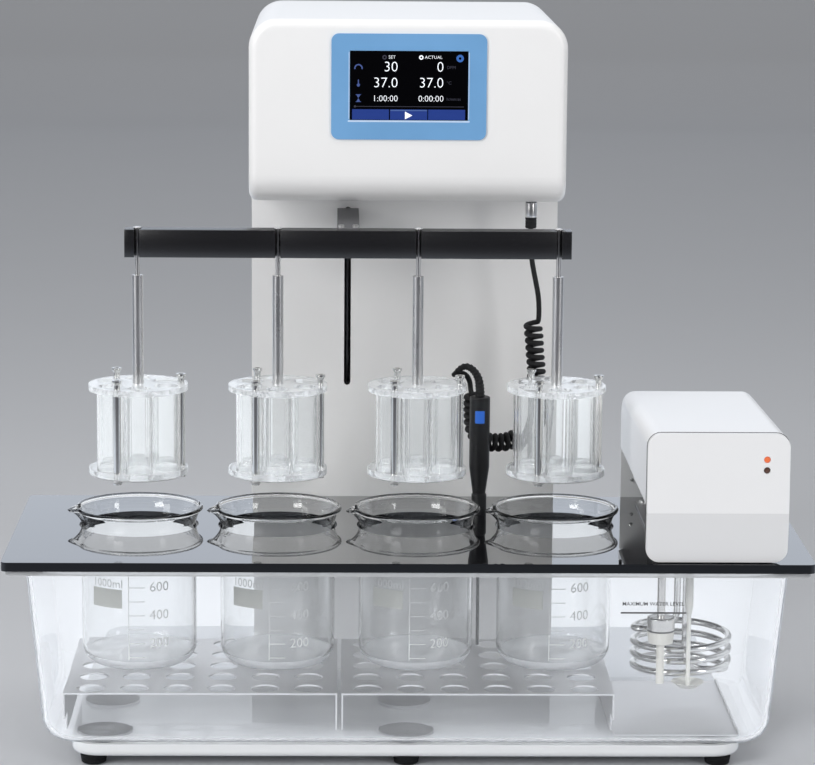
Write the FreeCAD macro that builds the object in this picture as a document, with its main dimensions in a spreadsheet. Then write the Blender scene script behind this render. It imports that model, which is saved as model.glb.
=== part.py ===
import FreeCAD, Part
import math
import os
import re

import Sketcher
from FreeCAD import Placement, Rotation, Vector

# Tablet disintegration tester with four basket stations over a heated water bath.
# Millimetres, +Z up, origin on the bench under the middle of the outline, front towards -Y.
# Every length below can be changed by itself; z values are heights above the bench.

SIZES = {
    # base and what it stands on
    "foot_height": 9.3, "foot_diameter": 24, "foot_inset": 20, "foot_front_y": -177, "foot_back_y": 208,
    "base_inset": 23.8, "base_front_y": -193, "base_back_y": 233, "base_thick": 11.7,
    "base_corner": 25, "base_edge": 5,
    "pad_diameter": 50, "pad_thick": 3, "pad_inset": 53, "pad_front_y": -163, "pad_back_y": -60,
    # bath tank, as long as what stands in it, and drawn in at the floor by its draft
    "beaker_wall_gap": 23.3, "coil_beaker_gap": 18.1, "coil_wall_gap": 19.7,
    "tank_floor_front_y": -212, "tank_floor_back_y": 15, "tank_corner": 34,
    "tank_wall": 4, "tank_draft": 5.5, "tank_floor_radius": 21,
    "flange_reach": 28.4, "flange_front_y": -236, "flange_back_y": 38.5, "flange_thick": 4.5,
    "flange_corner": 9,
    # deck over the bath, and the row of stations
    "deck_top": 198, "deck_thick": 8, "deck_reach": 3, "deck_front_y": -239, "deck_back_y": 41.5,
    "deck_corner": 6, "beaker_hole": 109, "probe_hole": 4.2,
    "station_pitch": 127, "beaker_row_y": -82,
    # perforated shelves under the beakers
    "shelf_top": 70, "shelf_sheet": 1.5, "shelf_length": 243.5, "shelf_wall_gap": 14.4, "shelf_gap": 3.8,
    "shelf_front_y": -197.5, "shelf_back_y": -6, "shelf_notch_depth": 24, "shelf_notch_height": 18,
    "shelf_foot_gap": 0.9, "bay_plate_length": 112.5, "bay_plate_front_y": -190, "bay_plate_lip": 4,
    "shelf_hole": 25.7, "shelf_hole_pitch": 38.8, "shelf_first_hole_x": 23.6, "shelf_first_hole_y": 17,
    # one litre beakers
    "beaker_diameter": 105, "beaker_wall": 2.3, "beaker_floor": 3, "beaker_height": 145.4,
    "beaker_rim": 115.6, "beaker_base_radius": 17, "beaker_neck": 14, "beaker_neck_radius": 10,
    "rim_bead": 3,
    # column and head
    "column_width": 290, "column_front_y": 64, "column_back_y": 231, "column_sheet": 2.5,
    "head_low": 490, "head_height": 167.5, "head_front_y": -49, "head_wall": 3,
    "head_low_radius": 25, "head_top_corner": 26, "head_side_radius": 8, "head_duct_margin": 14,
    "slot_width": 6.3, "slot_clear_low": 3, "slot_clear_high": 2.5,
    "bezel_width": 141, "bezel_height": 96, "bezel_low": 549, "bezel_middle_x": 0.5, "bezel_thick": 1.6,
    "bezel_corner": 7, "screen_width": 107.5, "screen_height": 63, "screen_low": 566.6,
    "screen_depth": 12, "screen_setback": 0.4, "screen_gap": 0.15,
    # drive behind the slot
    "beam_length": 403, "beam_depth": 20, "beam_thick": 25, "beam_top": 471, "beam_ahead": 12.5,
    "hook_slot": 4.6, "arm_width": 20, "arm_thick": 19, "tab_thick": 1.5, "tab_length": 13.5,
    "blade_width": 5, "arm_screw_pitch": 13, "arm_screw_head": 5.5, "arm_screw_head_thick": 2.3,
    "arm_screw_shank": 3, "arm_screw_length": 9, "arm_gap": 3,
    "lift_travel": 147, "carriage_width": 104, "carriage_depth": 40, "carriage_front_y": 95,
    "carriage_height": 24, "guide_rod": 10, "guide_pitch": 80, "screw_diameter": 10, "screw_journal": 8,
    "block_thick": 12, "block_gap": 4, "frame_width": 120, "frame_plate": 5, "frame_gap": 5,
    "drive_motor_side": 42, "drive_motor_height": 46, "motor_shaft_depth": 30,
    # baskets
    "basket_low": 246.5, "plate_diameter": 90, "plate_thick": 5.5, "plate_hole": 22,
    "tube_length": 77.5, "tube_outer": 25, "tube_wall": 1.75, "tube_seat": 3, "tube_circle": 29,
    "bolt_circle": 38.8, "spacer_diameter": 7.2, "bolt_thread": 4.4, "bolt_foot": 7.5,
    "bolt_foot_thick": 1.5, "bolt_foot_drop": 4.5, "nut_low_diameter": 5.8, "nut_top_diameter": 8.8,
    "nut_height": 8.6, "thread_sunk": 1, "mesh_inset": 1, "mesh_thick": 0.6,
    "disc_diameter": 20.7, "disc_thick": 9.5,
    "hanger_head": 6.4, "hanger_head_thick": 1.2, "hanger_neck": 4.4, "hanger_neck_low": 428.4,
    "hanger_sleeve": 10, "hanger_spigot": 6,
    "basket_1_turn": 4, "basket_2_turn": 0, "basket_3_turn": -3, "basket_4_turn": 3,
    # circulating heater at the right-hand end
    "heater_inset": 47.3, "heater_width": 124, "panel_front_y": -238, "panel_thick": 9,
    "panel_lift": 1, "heater_top": 313.5, "crease_height": 244, "crease_setback": 4, "panel_lean": 3,
    "panel_corner": 12, "hood_back_y": 44.5, "hood_wall": 2.5, "hood_side_low": 249,
    "hood_back_low": 186, "hood_side_radius": 12, "hood_back_radius": 28, "hood_setback": 0.3,
    "hood_fall": 9.2, "hood_tail_inset": 1.5,
    "chassis_inset": 12.7, "chassis_width": 98.5, "chassis_wall_inset": 13,
    "chassis_sheet": 2.5, "chassis_back_y": 14,
    "port_margin": 2.85, "port_width": 45, "port_front_y": -162, "port_depth": 74,
    "light_diameter": 5.5, "light_inset": 20, "light_high_z": 291, "light_low_z": 281.6, "light_proud": 0.7,
    "coil_y": -96, "coil_radius": 43.6, "coil_rod": 6.2, "coil_pitch": 10.9,
    "coil_turns": 3.5, "coil_low": 65.8, "coil_leg_pitch": 8, "coil_elbow": 39,
    "pump_offset": 24.5, "pump_y": -154, "pump_tube": 7.3, "pump_bore": 4.6, "pump_head": 25,
    "pump_head_low": 106.4, "pump_head_height": 23.9, "pump_head_edge": 1.5, "pump_head_wall": 2.2,
    "pump_chamber": 18.6, "pump_nozzle_low": 68.4,
    "impeller_diameter": 18, "impeller_height": 10, "impeller_shaft": 3, "tube_top_above": 4,
    "pump_motor_side": 34, "pump_motor_height": 46, "pump_motor_lift": 8, "pump_motor_left": 7,
    "motor_leg_left": 8, "motor_leg_width": 12, "motor_leg_depth": 6,
    "motor_shaft_reach": 14, "motor_bore_depth": 16,
    "sensor_offset": 0.8, "sensor_y": -154, "sensor_tube": 7, "sensor_rod": 3.9, "sensor_step": 140,
    "sensor_cone": 9, "sensor_low": 65, "sensor_cup": 30.4, "sensor_cup_height": 5,
    "sensor_cup_wall": 1, "sensor_cup_floor": 1.5,
    # temperature probe and its lead
    "probe_x": 69, "probe_y": -35, "probe_handle": 18.8, "probe_top": 309.3, "probe_taper_top": 243,
    "probe_neck": 12.2, "probe_collar": 14, "probe_collar_height": 19, "probe_collar_radius": 2,
    "probe_groove": 1.5, "probe_groove_gap": 0.5, "probe_taper_radius": 4, "probe_top_radius": 1.2,
    "probe_stem": 3, "probe_tip": 72.5,
    "lead_diameter": 5, "lead_coil_diameter": 18.5, "relief_diameter": 9.4, "relief_end": 5.6,
    "plug_x": 117, "plug_y": 18, "plug_barrel": 11, "plug_barrel_length": 20, "plug_sleeve": 10.6,
    "plug_sleeve_length": 10,
    # power inlet with its rocker switch, low on the back
    "inlet_x": 95, "inlet_z": 112, "inlet_width": 28, "inlet_height": 58, "inlet_depth": 25,
    "inlet_rim": 3, "inlet_rim_thick": 2, "socket_width": 22, "socket_height": 16, "socket_depth": 15,
    "pin_width": 2, "pin_height": 4, "pin_length": 11, "pin_pitch": 7, "rocker_width": 14,
    "rocker_height": 21, "rocker_depth": 9, "rocker_dip": 1, "rocker_tilt": 7, "rocker_gap": 0.6,
    "rocker_well_floor": 4, "rocker_axle": 3, "rocker_axle_length": 19,
    # clearances, and how far a cutting form runs past what it cuts
    "seat_gap": 0.2, "running_gap": 0.1, "cover_gap": 0.2, "past": 1,
}

# Places that follow from the sizes.
PLACES = {
    "coil_outer": "coil_radius + coil_rod / 2",
    "row_length": "beaker_diameter + 3 * station_pitch + coil_beaker_gap + 2 * coil_outer",
    "tank_floor_width": "2 * tank_wall + beaker_wall_gap + row_length + coil_wall_gap",
    "tank_inner_left_x": "-tank_floor_width / 2 + tank_wall",
    "first_station_x": "tank_inner_left_x + beaker_wall_gap + beaker_diameter / 2",
    "station_middle_x": "first_station_x + 1.5 * station_pitch",
    "coil_x": "first_station_x + 3 * station_pitch + beaker_diameter / 2 + coil_beaker_gap + coil_outer",
    "pump_x": "coil_x - pump_offset",
    "sensor_x": "coil_x + sensor_offset",
    "shelf_left_x": "tank_inner_left_x + shelf_wall_gap",
    "base_width": "tank_floor_width - 2 * base_inset",
    "foot_x": "base_width / 2 - foot_inset",
    "pad_pitch": "tank_floor_width / 2 - pad_inset",
    "flange_width": "tank_floor_width + 2 * flange_reach",
    "deck_width": "flange_width + 2 * deck_reach",
    "heater_left_x": "coil_x - heater_inset",
    "port_left_x": "pump_x - pump_tube / 2 - port_margin",
    "chassis_left_x": "heater_left_x + chassis_inset",
    "light_x": "heater_right_x - light_inset",
    "base_top": "foot_height + base_thick",
    "tank_low": "base_top + pad_thick",
    "tank_floor": "tank_low + tank_wall",
    "deck_low": "deck_top - deck_thick",
    "flange_low": "deck_low - flange_thick",
    "beaker_low": "shelf_top + seat_gap",
    "beaker_top": "beaker_low + beaker_height",
    "head_top": "head_low + head_height",
    "beam_low": "beam_top - beam_thick",
    "beam_front_y": "beaker_row_y - beam_ahead",
    "beam_back_y": "beam_front_y + beam_depth",
    "arm_high": "beam_top + tab_thick",
    "arm_low": "beam_top - arm_thick",
    "arm_back_y": "column_front_y - arm_gap",
    "slot_low": "arm_low - lift_travel - slot_clear_low",
    "slot_high": "beam_top + slot_clear_high",
    "carriage_low": "beam_low",
    "carriage_middle_y": "carriage_front_y + carriage_depth / 2",
    "lower_block_high": "carriage_low - lift_travel - block_gap",
    "upper_block_low": "carriage_low + carriage_height + block_gap",
    "upper_block_high": "upper_block_low + block_thick",
    "lower_block_low": "lower_block_high - block_thick",
    "frame_plate_y": "carriage_front_y + carriage_depth + frame_gap",
    "basket_gap": "tube_length - 2 * tube_seat",
    "upper_plate_low": "basket_low + plate_thick + basket_gap",
    "basket_top": "upper_plate_low + plate_thick",
    "tube_low": "basket_low + plate_thick - tube_seat",
    "heater_right_x": "heater_left_x + heater_width",
    "panel_low": "deck_top + panel_lift",
    "panel_back_y": "panel_front_y + panel_thick",
    "hood_front_y": "panel_back_y + hood_setback",
    "chassis_right_x": "chassis_left_x + chassis_width",
    "leg_top": "deck_top + chassis_sheet + tube_top_above",
    "pump_head_top": "pump_head_low + pump_head_height",
    "coil_high": "coil_low + coil_pitch * coil_turns",
    "plug_low": "head_low - plug_barrel_length",
    "lead_exit": "plug_low - plug_sleeve_length",
    "rocker_middle_z": "inlet_z + inlet_height / 4",
    "socket_middle_z": "inlet_z - inlet_height / 4",
    "rocker_pivot_y": "column_back_y - rocker_depth / 2",
}

STATIONS = (1, 2, 3, 4)
TUBE_ANGLES = (30, 90, 150, 210, 270, 330)
BOLT_ANGLES = (0, 120, 240)

# Lead of the probe: from the plug down to its curly part, along that, and up to the handle's relief.
LEAD_UPPER = [(117, 18, 444), (118.3, 18, 428), (121, 18, 411), (124, 17.6, 394), (124.6, 17, 371.4)]
LEAD_CURLY = [
    (118.5, 17, 371), (121, 17, 348), (123.6, 16.4, 325), (125.8, 14.5, 304), (124.5, 9.5, 286),
    (117.5, 3, 272.5), (107, -3.5, 264.5), (95, -8, 261), (82.5, -11, 260.6), (71.5, -12.6, 263.5),
    (64.6, -13.6, 273), (63.2, -14, 288), (63.5, -14, 303.6),
]
LEAD_LOWER = [
    (61, -17, 303.8), (60.6, -18.4, 311.5), (59.8, -20.4, 319.5), (56.6, -22.6, 327),
    (50, -24, 329.8), (44, -26.4, 328.8), (41.8, -31.6, 328.4), (45.4, -35, 332.4),
]
RELIEF = [
    (69, -35, 309.4), (69, -35, 320.5), (65.6, -35, 331), (57.8, -35, 337.6), (50, -35, 337),
    (45.4, -35, 332.4),
]

doc = FreeCAD.newDocument("DisintegrationTester")
dims = doc.addObject("Spreadsheet::Sheet", "dims")
for row, (alias, value) in enumerate(SIZES.items(), start=1):
    dims.set(f"A{row}", alias)
    dims.set(f"B{row}", str(value))
    dims.setAlias(f"B{row}", alias)
doc.recompute()

nodes = []


def formula(text):
    """Turns the plain names of sizes and places into an expression on the sheet."""
    def expand(match):
        word = match[0]
        if word in PLACES:
            return f"({formula(PLACES[word])})"
        return f"dims.{word}" if word in SIZES else word
    return re.sub(r"[a-z_]\w*", expand, str(text))


def size(text):
    """The number that a formula gives now."""
    return float(dims.evalExpression(formula(text)))


def node(label, item):
    """Names a finished piece, which becomes one file."""
    item.Label = label
    nodes.append(item)
    return item


def place(item, x=0, y=0, z=0):
    for axis, text in zip("xyz", (x, y, z)):
        item.setExpression(f"Placement.Base.{axis}", formula(text))
    return item


def box(name, x, y, z):
    """A block between the low and high values of x, y and z."""
    item = doc.addObject("Part::Box", name)
    for side, (low, high) in zip(("Length", "Width", "Height"), (x, y, z)):
        item.setExpression(side, formula(f"({high}) - ({low})"))
    return place(item, x[0], y[0], z[0])


def rod(name, diameter, x, y, z):
    """A cylinder along the one axis that is given as a low and high pair."""
    item = doc.addObject("Part::Cylinder", name)
    spans = [axis for axis, text in zip("xyz", (x, y, z)) if isinstance(text, tuple)]
    turn = {"x": Rotation(Vector(0, 1, 0), 90), "y": Rotation(Vector(1, 0, 0), -90), "z": Rotation()}
    low, high = {"x": x, "y": y, "z": z}[spans[0]]
    item.setExpression("Radius", formula(f"({diameter}) / 2"))
    item.setExpression("Height", formula(f"({high}) - ({low})"))
    item.Placement = Placement(Vector(), turn[spans[0]])
    starts = [text[0] if isinstance(text, tuple) else text for text in (x, y, z)]
    return place(item, *starts)


def group(name, items):
    item = doc.addObject("Part::Compound", name)
    item.Links = items
    return item


def fuse(name, items):
    item = doc.addObject("Part::MultiFuse", name)
    item.Shapes = items
    item.Refine = True
    return item


def cut(name, base, tools):
    item = doc.addObject("Part::Cut", name)
    item.Base = base
    item.Tool = tools[0] if len(tools) == 1 else group(f"{name}_tools", tools)
    return item


def fixed(name, shape):
    """A piece whose shape only Part's own functions can make."""
    item = doc.addObject("Part::Feature", name)
    item.Shape = shape
    return item


def sketch_on(body, role, name):
    sketch = body.newObject("Sketcher::SketchObject", name)
    plane = [feature for feature in body.Origin.OriginFeatures if feature.Role == role][0]
    sketch.AttachmentSupport = [(plane, "")]
    sketch.MapMode = "FlatFace"
    return sketch


def pin_point(sketch, geometry, position, u, v):
    """Holds a point of the sketch at (u, v) from its origin."""
    if str(u) == "0":
        sketch.addConstraint(Sketcher.Constraint("PointOnObject", geometry, position, -2))
    else:
        across = sketch.addConstraint(Sketcher.Constraint("DistanceX", -1, 1, geometry, position, size(u)))
        sketch.setExpression(f"Constraints[{across}]", formula(u))
    up = sketch.addConstraint(Sketcher.Constraint("DistanceY", -1, 1, geometry, position, size(v)))
    sketch.setExpression(f"Constraints[{up}]", formula(v))


def outline(sketch, corners):
    """A closed outline through (u, v) or (u, v, radius) corners, in order."""
    count = len(corners)
    points = [Vector(size(corner[0]), size(corner[1]), 0) for corner in corners]
    starts, ends, arcs = list(points), list(points), {}
    for i, corner in enumerate(corners):
        if len(corner) < 3:
            continue
        before = (points[i - 1] - points[i]).normalize()
        after = (points[(i + 1) % count] - points[i]).normalize()
        radius = size(corner[2])
        half = before.getAngle(after) / 2
        ends[i] = points[i] + before * (radius / math.tan(half))
        starts[i] = points[i] + after * (radius / math.tan(half))
        centre = points[i] + (before + after).normalize() * (radius / math.sin(half))
        middle = centre + (points[i] - centre).normalize() * radius
        arcs[i] = Part.Arc(ends[i], middle, starts[i])
    lines = [sketch.addGeometry(Part.LineSegment(starts[i], ends[(i + 1) % count])) for i in range(count)]
    for i, corner in enumerate(corners):
        incoming, outgoing = lines[i - 1], lines[i]
        if i not in arcs:
            sketch.addConstraint(Sketcher.Constraint("Coincident", incoming, 2, outgoing, 1))
            pin_point(sketch, outgoing, 1, corner[0], corner[1])
            continue
        arc = sketch.addGeometry(arcs[i])
        first = 1 if sketch.getPoint(arc, 1).distanceToPoint(ends[i]) < 1e-6 else 2
        sketch.addConstraint(Sketcher.Constraint("Tangent", incoming, 2, arc, first))
        sketch.addConstraint(Sketcher.Constraint("Tangent", arc, 3 - first, outgoing, 1))
        bend = sketch.addConstraint(Sketcher.Constraint("Radius", arc, size(corner[2])))
        sketch.setExpression(f"Constraints[{bend}]", formula(corner[2]))
        apex = sketch.addGeometry(Part.Point(points[i]), True)
        sketch.addConstraint(Sketcher.Constraint("PointOnObject", apex, 1, incoming))
        sketch.addConstraint(Sketcher.Constraint("PointOnObject", apex, 1, outgoing))
        pin_point(sketch, apex, 1, corner[0], corner[1])


def prism(name, role, corners, low, high, taper=None):
    """A body padded from an outline on one of its planes, between low and high across that plane."""
    body = doc.addObject("PartDesign::Body", name)
    sketch = sketch_on(body, role, f"{name}_outline")
    outline(sketch, corners)
    pad = body.newObject("PartDesign::Pad", f"{name}_pad")
    pad.Profile = sketch
    pad.setExpression("Length", formula(f"({high}) - ({low})"))
    if taper:
        pad.setExpression("TaperAngle", formula(taper))
    place(body, **{"XY_Plane": {"z": low}, "YZ_Plane": {"x": low}, "XZ_Plane": {"y": high}}[role])
    doc.recompute()
    return body


def turned(name, corners, x=0, y=0):
    """A body turned about a vertical axis from an outline of (radius, height) corners."""
    body = doc.addObject("PartDesign::Body", name)
    sketch = sketch_on(body, "XZ_Plane", f"{name}_outline")
    outline(sketch, corners)
    lathe = body.newObject("PartDesign::Revolution", f"{name}_turned")
    lathe.Profile = sketch
    lathe.ReferenceAxis = (sketch, ["V_Axis"])
    lathe.Angle = 360
    return place(body, x, y, 0)


def soften(body, radius, test):
    """Rounds the edges of a body that pass the test."""
    doc.recompute()
    base = body.Tip
    edges = [f"Edge{i}" for i, edge in enumerate(body.Shape.Edges, start=1) if test(edge)]
    fillet = body.newObject("PartDesign::Fillet", f"{body.Name}_round_{len(body.Group)}")
    fillet.Base = (base, edges)
    fillet.setExpression("Radius", formula(radius))
    doc.recompute()
    return body


def drill(body, circles, diameter, depth=None):
    """Round holes at (u, v) in a body's own XY plane, right through or up to a depth."""
    before = body.Shape.Volume
    sketch = sketch_on(body, "XY_Plane", f"{body.Name}_holes_{len(body.Group)}")
    for u, v in circles:
        ring = Part.Circle(Vector(size(u), size(v), 0), Vector(0, 0, 1), size(diameter) / 2)
        circle = sketch.addGeometry(ring)
        width = sketch.addConstraint(Sketcher.Constraint("Diameter", circle, size(diameter)))
        sketch.setExpression(f"Constraints[{width}]", formula(diameter))
        pin_point(sketch, circle, 3, u, v)
    pocket = body.newObject("PartDesign::Pocket", f"{body.Name}_drilled_{len(body.Group)}")
    pocket.Profile = sketch
    pocket.Reversed = True
    if depth:
        pocket.setExpression("Length", formula(depth))
    else:
        pocket.Type = "ThroughAll"
    doc.recompute()
    if body.Shape.Volume > before - 1e-3:
        raise RuntimeError(f"{body.Label}: the holes cut nothing")
    return body


def rectangle(x, y, radius):
    """Rounded corners of a rectangle between the low and high values of x and y."""
    return [(x[0], y[0], radius), (x[1], y[0], radius), (x[1], y[1], radius), (x[0], y[1], radius)]


def spread(width, middle="0"):
    return (f"({middle}) - ({width}) / 2", f"({middle}) + ({width}) / 2")


def station_x(number):
    return f"station_middle_x + {number - 2.5} * station_pitch"


def lies_along(edge, axis):
    return abs(getattr(edge.BoundBox, f"{axis}Length") - edge.Length) < 1e-3


def round_path(points, name, widest=math.inf):
    """Straight runs joined by tangent arcs, each as large as its shorter run and widest let it be."""
    corners = [Vector(*point) for point in points]
    edges, start, radii = [], corners[0], []
    for before, corner, after in zip(corners, corners[1:], corners[2:]):
        shorter = min((corner - before).Length, (after - corner).Length)
        back, ahead = (before - corner).normalize(), (after - corner).normalize()
        half_turn = (math.pi - back.getAngle(ahead)) / 2
        reach = min(0.45 * shorter, widest * math.tan(half_turn))
        radius = reach / math.tan(half_turn)
        radii.append(round(radius, 1))
        entry, leave = corner + back * reach, corner + ahead * reach
        centre = corner + (back + ahead).normalize() * math.hypot(radius, reach)
        middle = centre + (corner - centre).normalize() * radius
        edges.append(Part.LineSegment(start, entry).toShape())
        edges.append(Part.Arc(entry, middle, leave).toShape())
        start = leave
    edges.append(Part.LineSegment(start, corners[-1]).toShape())
    print(f"{name}: arcs of {radii} mm, length {sum(edge.Length for edge in edges):.1f} mm")
    return Part.Wire(edges)


def circle_across(point, direction, diameter):
    return Part.Wire(Part.Circle(point, direction, diameter / 2).toShape())


def lead(points, diameter, name, widest=math.inf):
    """A round bar or cord along a path, with its volume checked against its section times its length."""
    path = round_path(points, name, widest)
    first = Vector(*points[0])
    solid = path.makePipeShell([circle_across(first, Vector(*points[1]) - first, diameter)], True, False)
    expected = math.pi * diameter ** 2 / 4 * path.Length
    if abs(solid.Volume / expected - 1) > 0.02:
        raise RuntimeError(f"{name}: the cord's volume is off")
    return solid


# ---------------------------------------------------------------- base and feet

base = prism(
    "base_body", "XY_Plane",
    rectangle(spread("base_width"), ("base_front_y", "base_back_y"), "base_corner"),
    "foot_height", "base_top",
)
base = soften(base, "base_edge", lambda edge: edge.BoundBox.ZMax < size("foot_height") + 1e-3)
node("base_housing", base)

feet = [
    rod(f"foot_{side}_{y}", "foot_diameter", f"({side}) * foot_x", y, ("0", "foot_height"))
    for side in (-1, 0, 1) for y in ("foot_front_y", "foot_back_y")
]
node("rubber_feet", group("feet", feet))

pads = [
    rod(f"pad_{side}_{y}", "pad_diameter", f"({side}) * pad_pitch", y, ("base_top", "tank_low"))
    for side in (-1, 0, 1) for y in ("pad_front_y", "pad_back_y")
]
node("tank_pads", group("pads", pads))

# ---------------------------------------------------------------- bath tank

tank_outside = prism(
    "tank_outside", "XY_Plane",
    rectangle(spread("tank_floor_width"), ("tank_floor_front_y", "tank_floor_back_y"), "tank_corner"),
    "tank_low", "deck_low", taper="tank_draft",
)
soften(tank_outside, "tank_floor_radius", lambda edge: edge.BoundBox.ZMax < size("tank_low") + 1e-3)
tank_inside = prism(
    "tank_inside", "XY_Plane",
    rectangle(
        spread("tank_floor_width - 2 * tank_wall"),
        ("tank_floor_front_y + tank_wall", "tank_floor_back_y - tank_wall"), "tank_corner - tank_wall",
    ),
    "tank_floor", "deck_low + past", taper="tank_draft",
)
soften(
    tank_inside, "tank_floor_radius - tank_wall",
    lambda edge: edge.BoundBox.ZMax < size("tank_floor") + 1e-3,
)
flange = prism(
    "tank_flange", "XY_Plane",
    rectangle(spread("flange_width"), ("flange_front_y", "flange_back_y"), "flange_corner"),
    "flange_low", "deck_low",
)
node("water_bath_tank", cut("tank", fuse("tank_blank", [tank_outside, flange]), [tank_inside]))

# ---------------------------------------------------------------- deck with the beaker holes

deck = prism(
    "deck_body", "XY_Plane",
    rectangle(spread("deck_width"), ("deck_front_y", "deck_back_y"), "deck_corner"),
    "deck_low", "deck_top",
)
drill(deck, [(station_x(number), "beaker_row_y") for number in STATIONS], "beaker_hole")
drill(deck, [("probe_x", "probe_y")], "probe_hole")
port = box(
    "heater_port", ("port_left_x", "port_left_x + port_width"),
    ("port_front_y", "port_front_y + port_depth"), ("deck_low - past", "deck_top + past"),
)
node("bath_deck", cut("deck", deck, [port]))

# ---------------------------------------------------------------- shelves and beakers


def shelf(name, left):
    """One n-shaped half of the perforated shelf."""
    right = f"{left} + shelf_length"
    top = box(f"{name}_top", (left, right), ("shelf_front_y", "shelf_back_y"),
              ("shelf_top - shelf_sheet", "shelf_top"))
    legs = [
        box(f"{name}_leg_{i}", (edge, f"{edge} + shelf_sheet"), ("shelf_front_y", "shelf_back_y"),
            ("tank_floor + shelf_foot_gap", "shelf_top - shelf_sheet"))
        for i, edge in enumerate((left, f"{right} - shelf_sheet"))
    ]
    notches = [
        box(f"{name}_notch_{i}", (f"{left} - past", f"{right} + past"), spread("2 * shelf_notch_depth", edge),
            ("tank_floor - past", "tank_floor + shelf_notch_height"))
        for i, edge in enumerate(("shelf_front_y", "shelf_back_y"))
    ]
    holes = [
        rod(f"{name}_hole_{column}_{line}", "shelf_hole",
            f"{left} + shelf_first_hole_x + {column} * shelf_hole_pitch",
            f"shelf_front_y + shelf_first_hole_y + {line} * shelf_hole_pitch",
            ("shelf_top - shelf_sheet - past", "shelf_top + past"))
        for column in range(6) for line in range(5)
    ]
    return cut(name, fuse(f"{name}_sheet", [top] + legs), notches + holes)


shelf_right_x = "(shelf_left_x + shelf_length + shelf_gap)"
bay_left = f"{shelf_right_x} + shelf_length + shelf_foot_gap"
bay_right = f"{bay_left} + bay_plate_length"
bay_depth = ("bay_plate_front_y", "shelf_back_y")
bay_low = "tank_floor + seat_gap"
bay_plate = fuse("bay_plate", [
    box("bay_sheet", (bay_left, bay_right), bay_depth, (bay_low, f"{bay_low} + shelf_sheet")),
    box("bay_lip", (f"{bay_right} - shelf_sheet", bay_right), bay_depth,
        (bay_low, f"{bay_low} + bay_plate_lip")),
])
shelves = [shelf("shelf_left", "shelf_left_x"), shelf("shelf_right", shelf_right_x), bay_plate]
node("beaker_shelves", group("shelves", shelves))


def beaker(number):
    """A low beaker with a flared neck and a beaded rim."""
    neck = "beaker_top - beaker_neck"
    wall = "beaker_diameter / 2 - beaker_wall"
    return turned(f"beaker_{number}", [
        ("0", "beaker_low"),
        ("beaker_diameter / 2", "beaker_low", "beaker_base_radius"),
        ("beaker_diameter / 2", neck, "beaker_neck_radius"),
        ("beaker_rim / 2", "beaker_top - rim_bead"),
        ("beaker_rim / 2 + rim_bead / 4", "beaker_top - rim_bead / 2"),
        ("beaker_rim / 2", "beaker_top", "rim_bead / 4"),
        ("beaker_rim / 2 - rim_bead", "beaker_top", "rim_bead / 4"),
        (wall, f"{neck} - beaker_wall / 2", "beaker_neck_radius"),
        (wall, "beaker_low + beaker_floor", "beaker_base_radius - beaker_wall"),
        ("0", "beaker_low + beaker_floor"),
    ], station_x(number), "beaker_row_y")


node("beakers", group("beaker_set", [beaker(number) for number in STATIONS]))

# ---------------------------------------------------------------- column, head and screen

column_outside = box("column_outside", spread("column_width"), ("column_front_y", "column_back_y"),
                     ("base_top", "head_low"))
column_inside = box("column_inside", spread("column_width - 2 * column_sheet"),
                    ("column_front_y + column_sheet", "column_back_y + past"),
                    ("base_top - past", "head_low + past"))
slot = prism(
    "slot", "XZ_Plane",
    rectangle(spread("slot_width", "station_middle_x"), ("slot_low", "slot_high"), "slot_width / 2.02"),
    "column_front_y - past", "column_front_y + column_sheet + past",
)
node("column_shell", cut("column", column_outside, [column_inside, slot]))


def head_block(name, width, front, back, low, high, less):
    """The head's rounded form, drawn in by less on every radius."""
    body = prism(name, "YZ_Plane", [
        (front, low, f"head_low_radius - {less}"), (back, low), (back, high), (front, high),
    ], f"-({width}) / 2", f"({width}) / 2")
    half, face, rear, middle = size(width) / 2, size(front), size(back), size(f"({low} + {high}) / 2")

    def along_side(ends):
        return abs(abs(ends.Center.x) - half) < 1e-3 and ends.XLength < 1e-3 and ends.YMin < rear - 1e-3

    def top_corner(edge):
        ends = edge.BoundBox
        return along_side(ends) and ends.ZMin > middle

    def front_bend(edge):
        ends = edge.BoundBox
        over_face = ends.YMax < face + 1e-3 and ends.Center.z > middle
        return over_face or along_side(ends) and not top_corner(edge)
    soften(body, f"head_top_corner - {less}", top_corner)
    return soften(body, f"head_side_radius - {less}", front_bend)


head_outside = head_block("head_outside", "column_width", "head_front_y", "column_back_y",
                          "head_low", "head_top", "0")
head_inside = head_block("head_inside", "column_width - 2 * head_wall", "head_front_y + head_wall",
                         "column_back_y + past", "head_low + head_wall", "head_top - head_wall", "head_wall")
duct = box("head_duct", spread("column_width - 2 * head_duct_margin"),
           ("column_front_y + head_duct_margin", "column_back_y - head_duct_margin"),
           ("head_low - past", "head_low + head_wall + past"))
window_x = spread("screen_width + 2", "bezel_middle_x")
window = box("screen_window", window_x, ("head_front_y - past", "head_front_y + head_wall + past"),
             ("screen_low - past", "screen_low + screen_height + past"))
neck = box("head_neck", spread("column_width"), ("column_front_y", "column_back_y"),
           ("head_low", "head_low + head_side_radius"))
cover_way = box("cover_way", spread("column_width - 2 * head_wall"),
                ("column_back_y - column_sheet - cover_gap", "column_back_y + past"),
                ("head_low - past", "head_low + head_side_radius"))
head_blank = fuse("head_blank", [head_outside, neck])
node("head_shell", cut("head", head_blank, [head_inside, duct, window, cover_way]))

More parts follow.
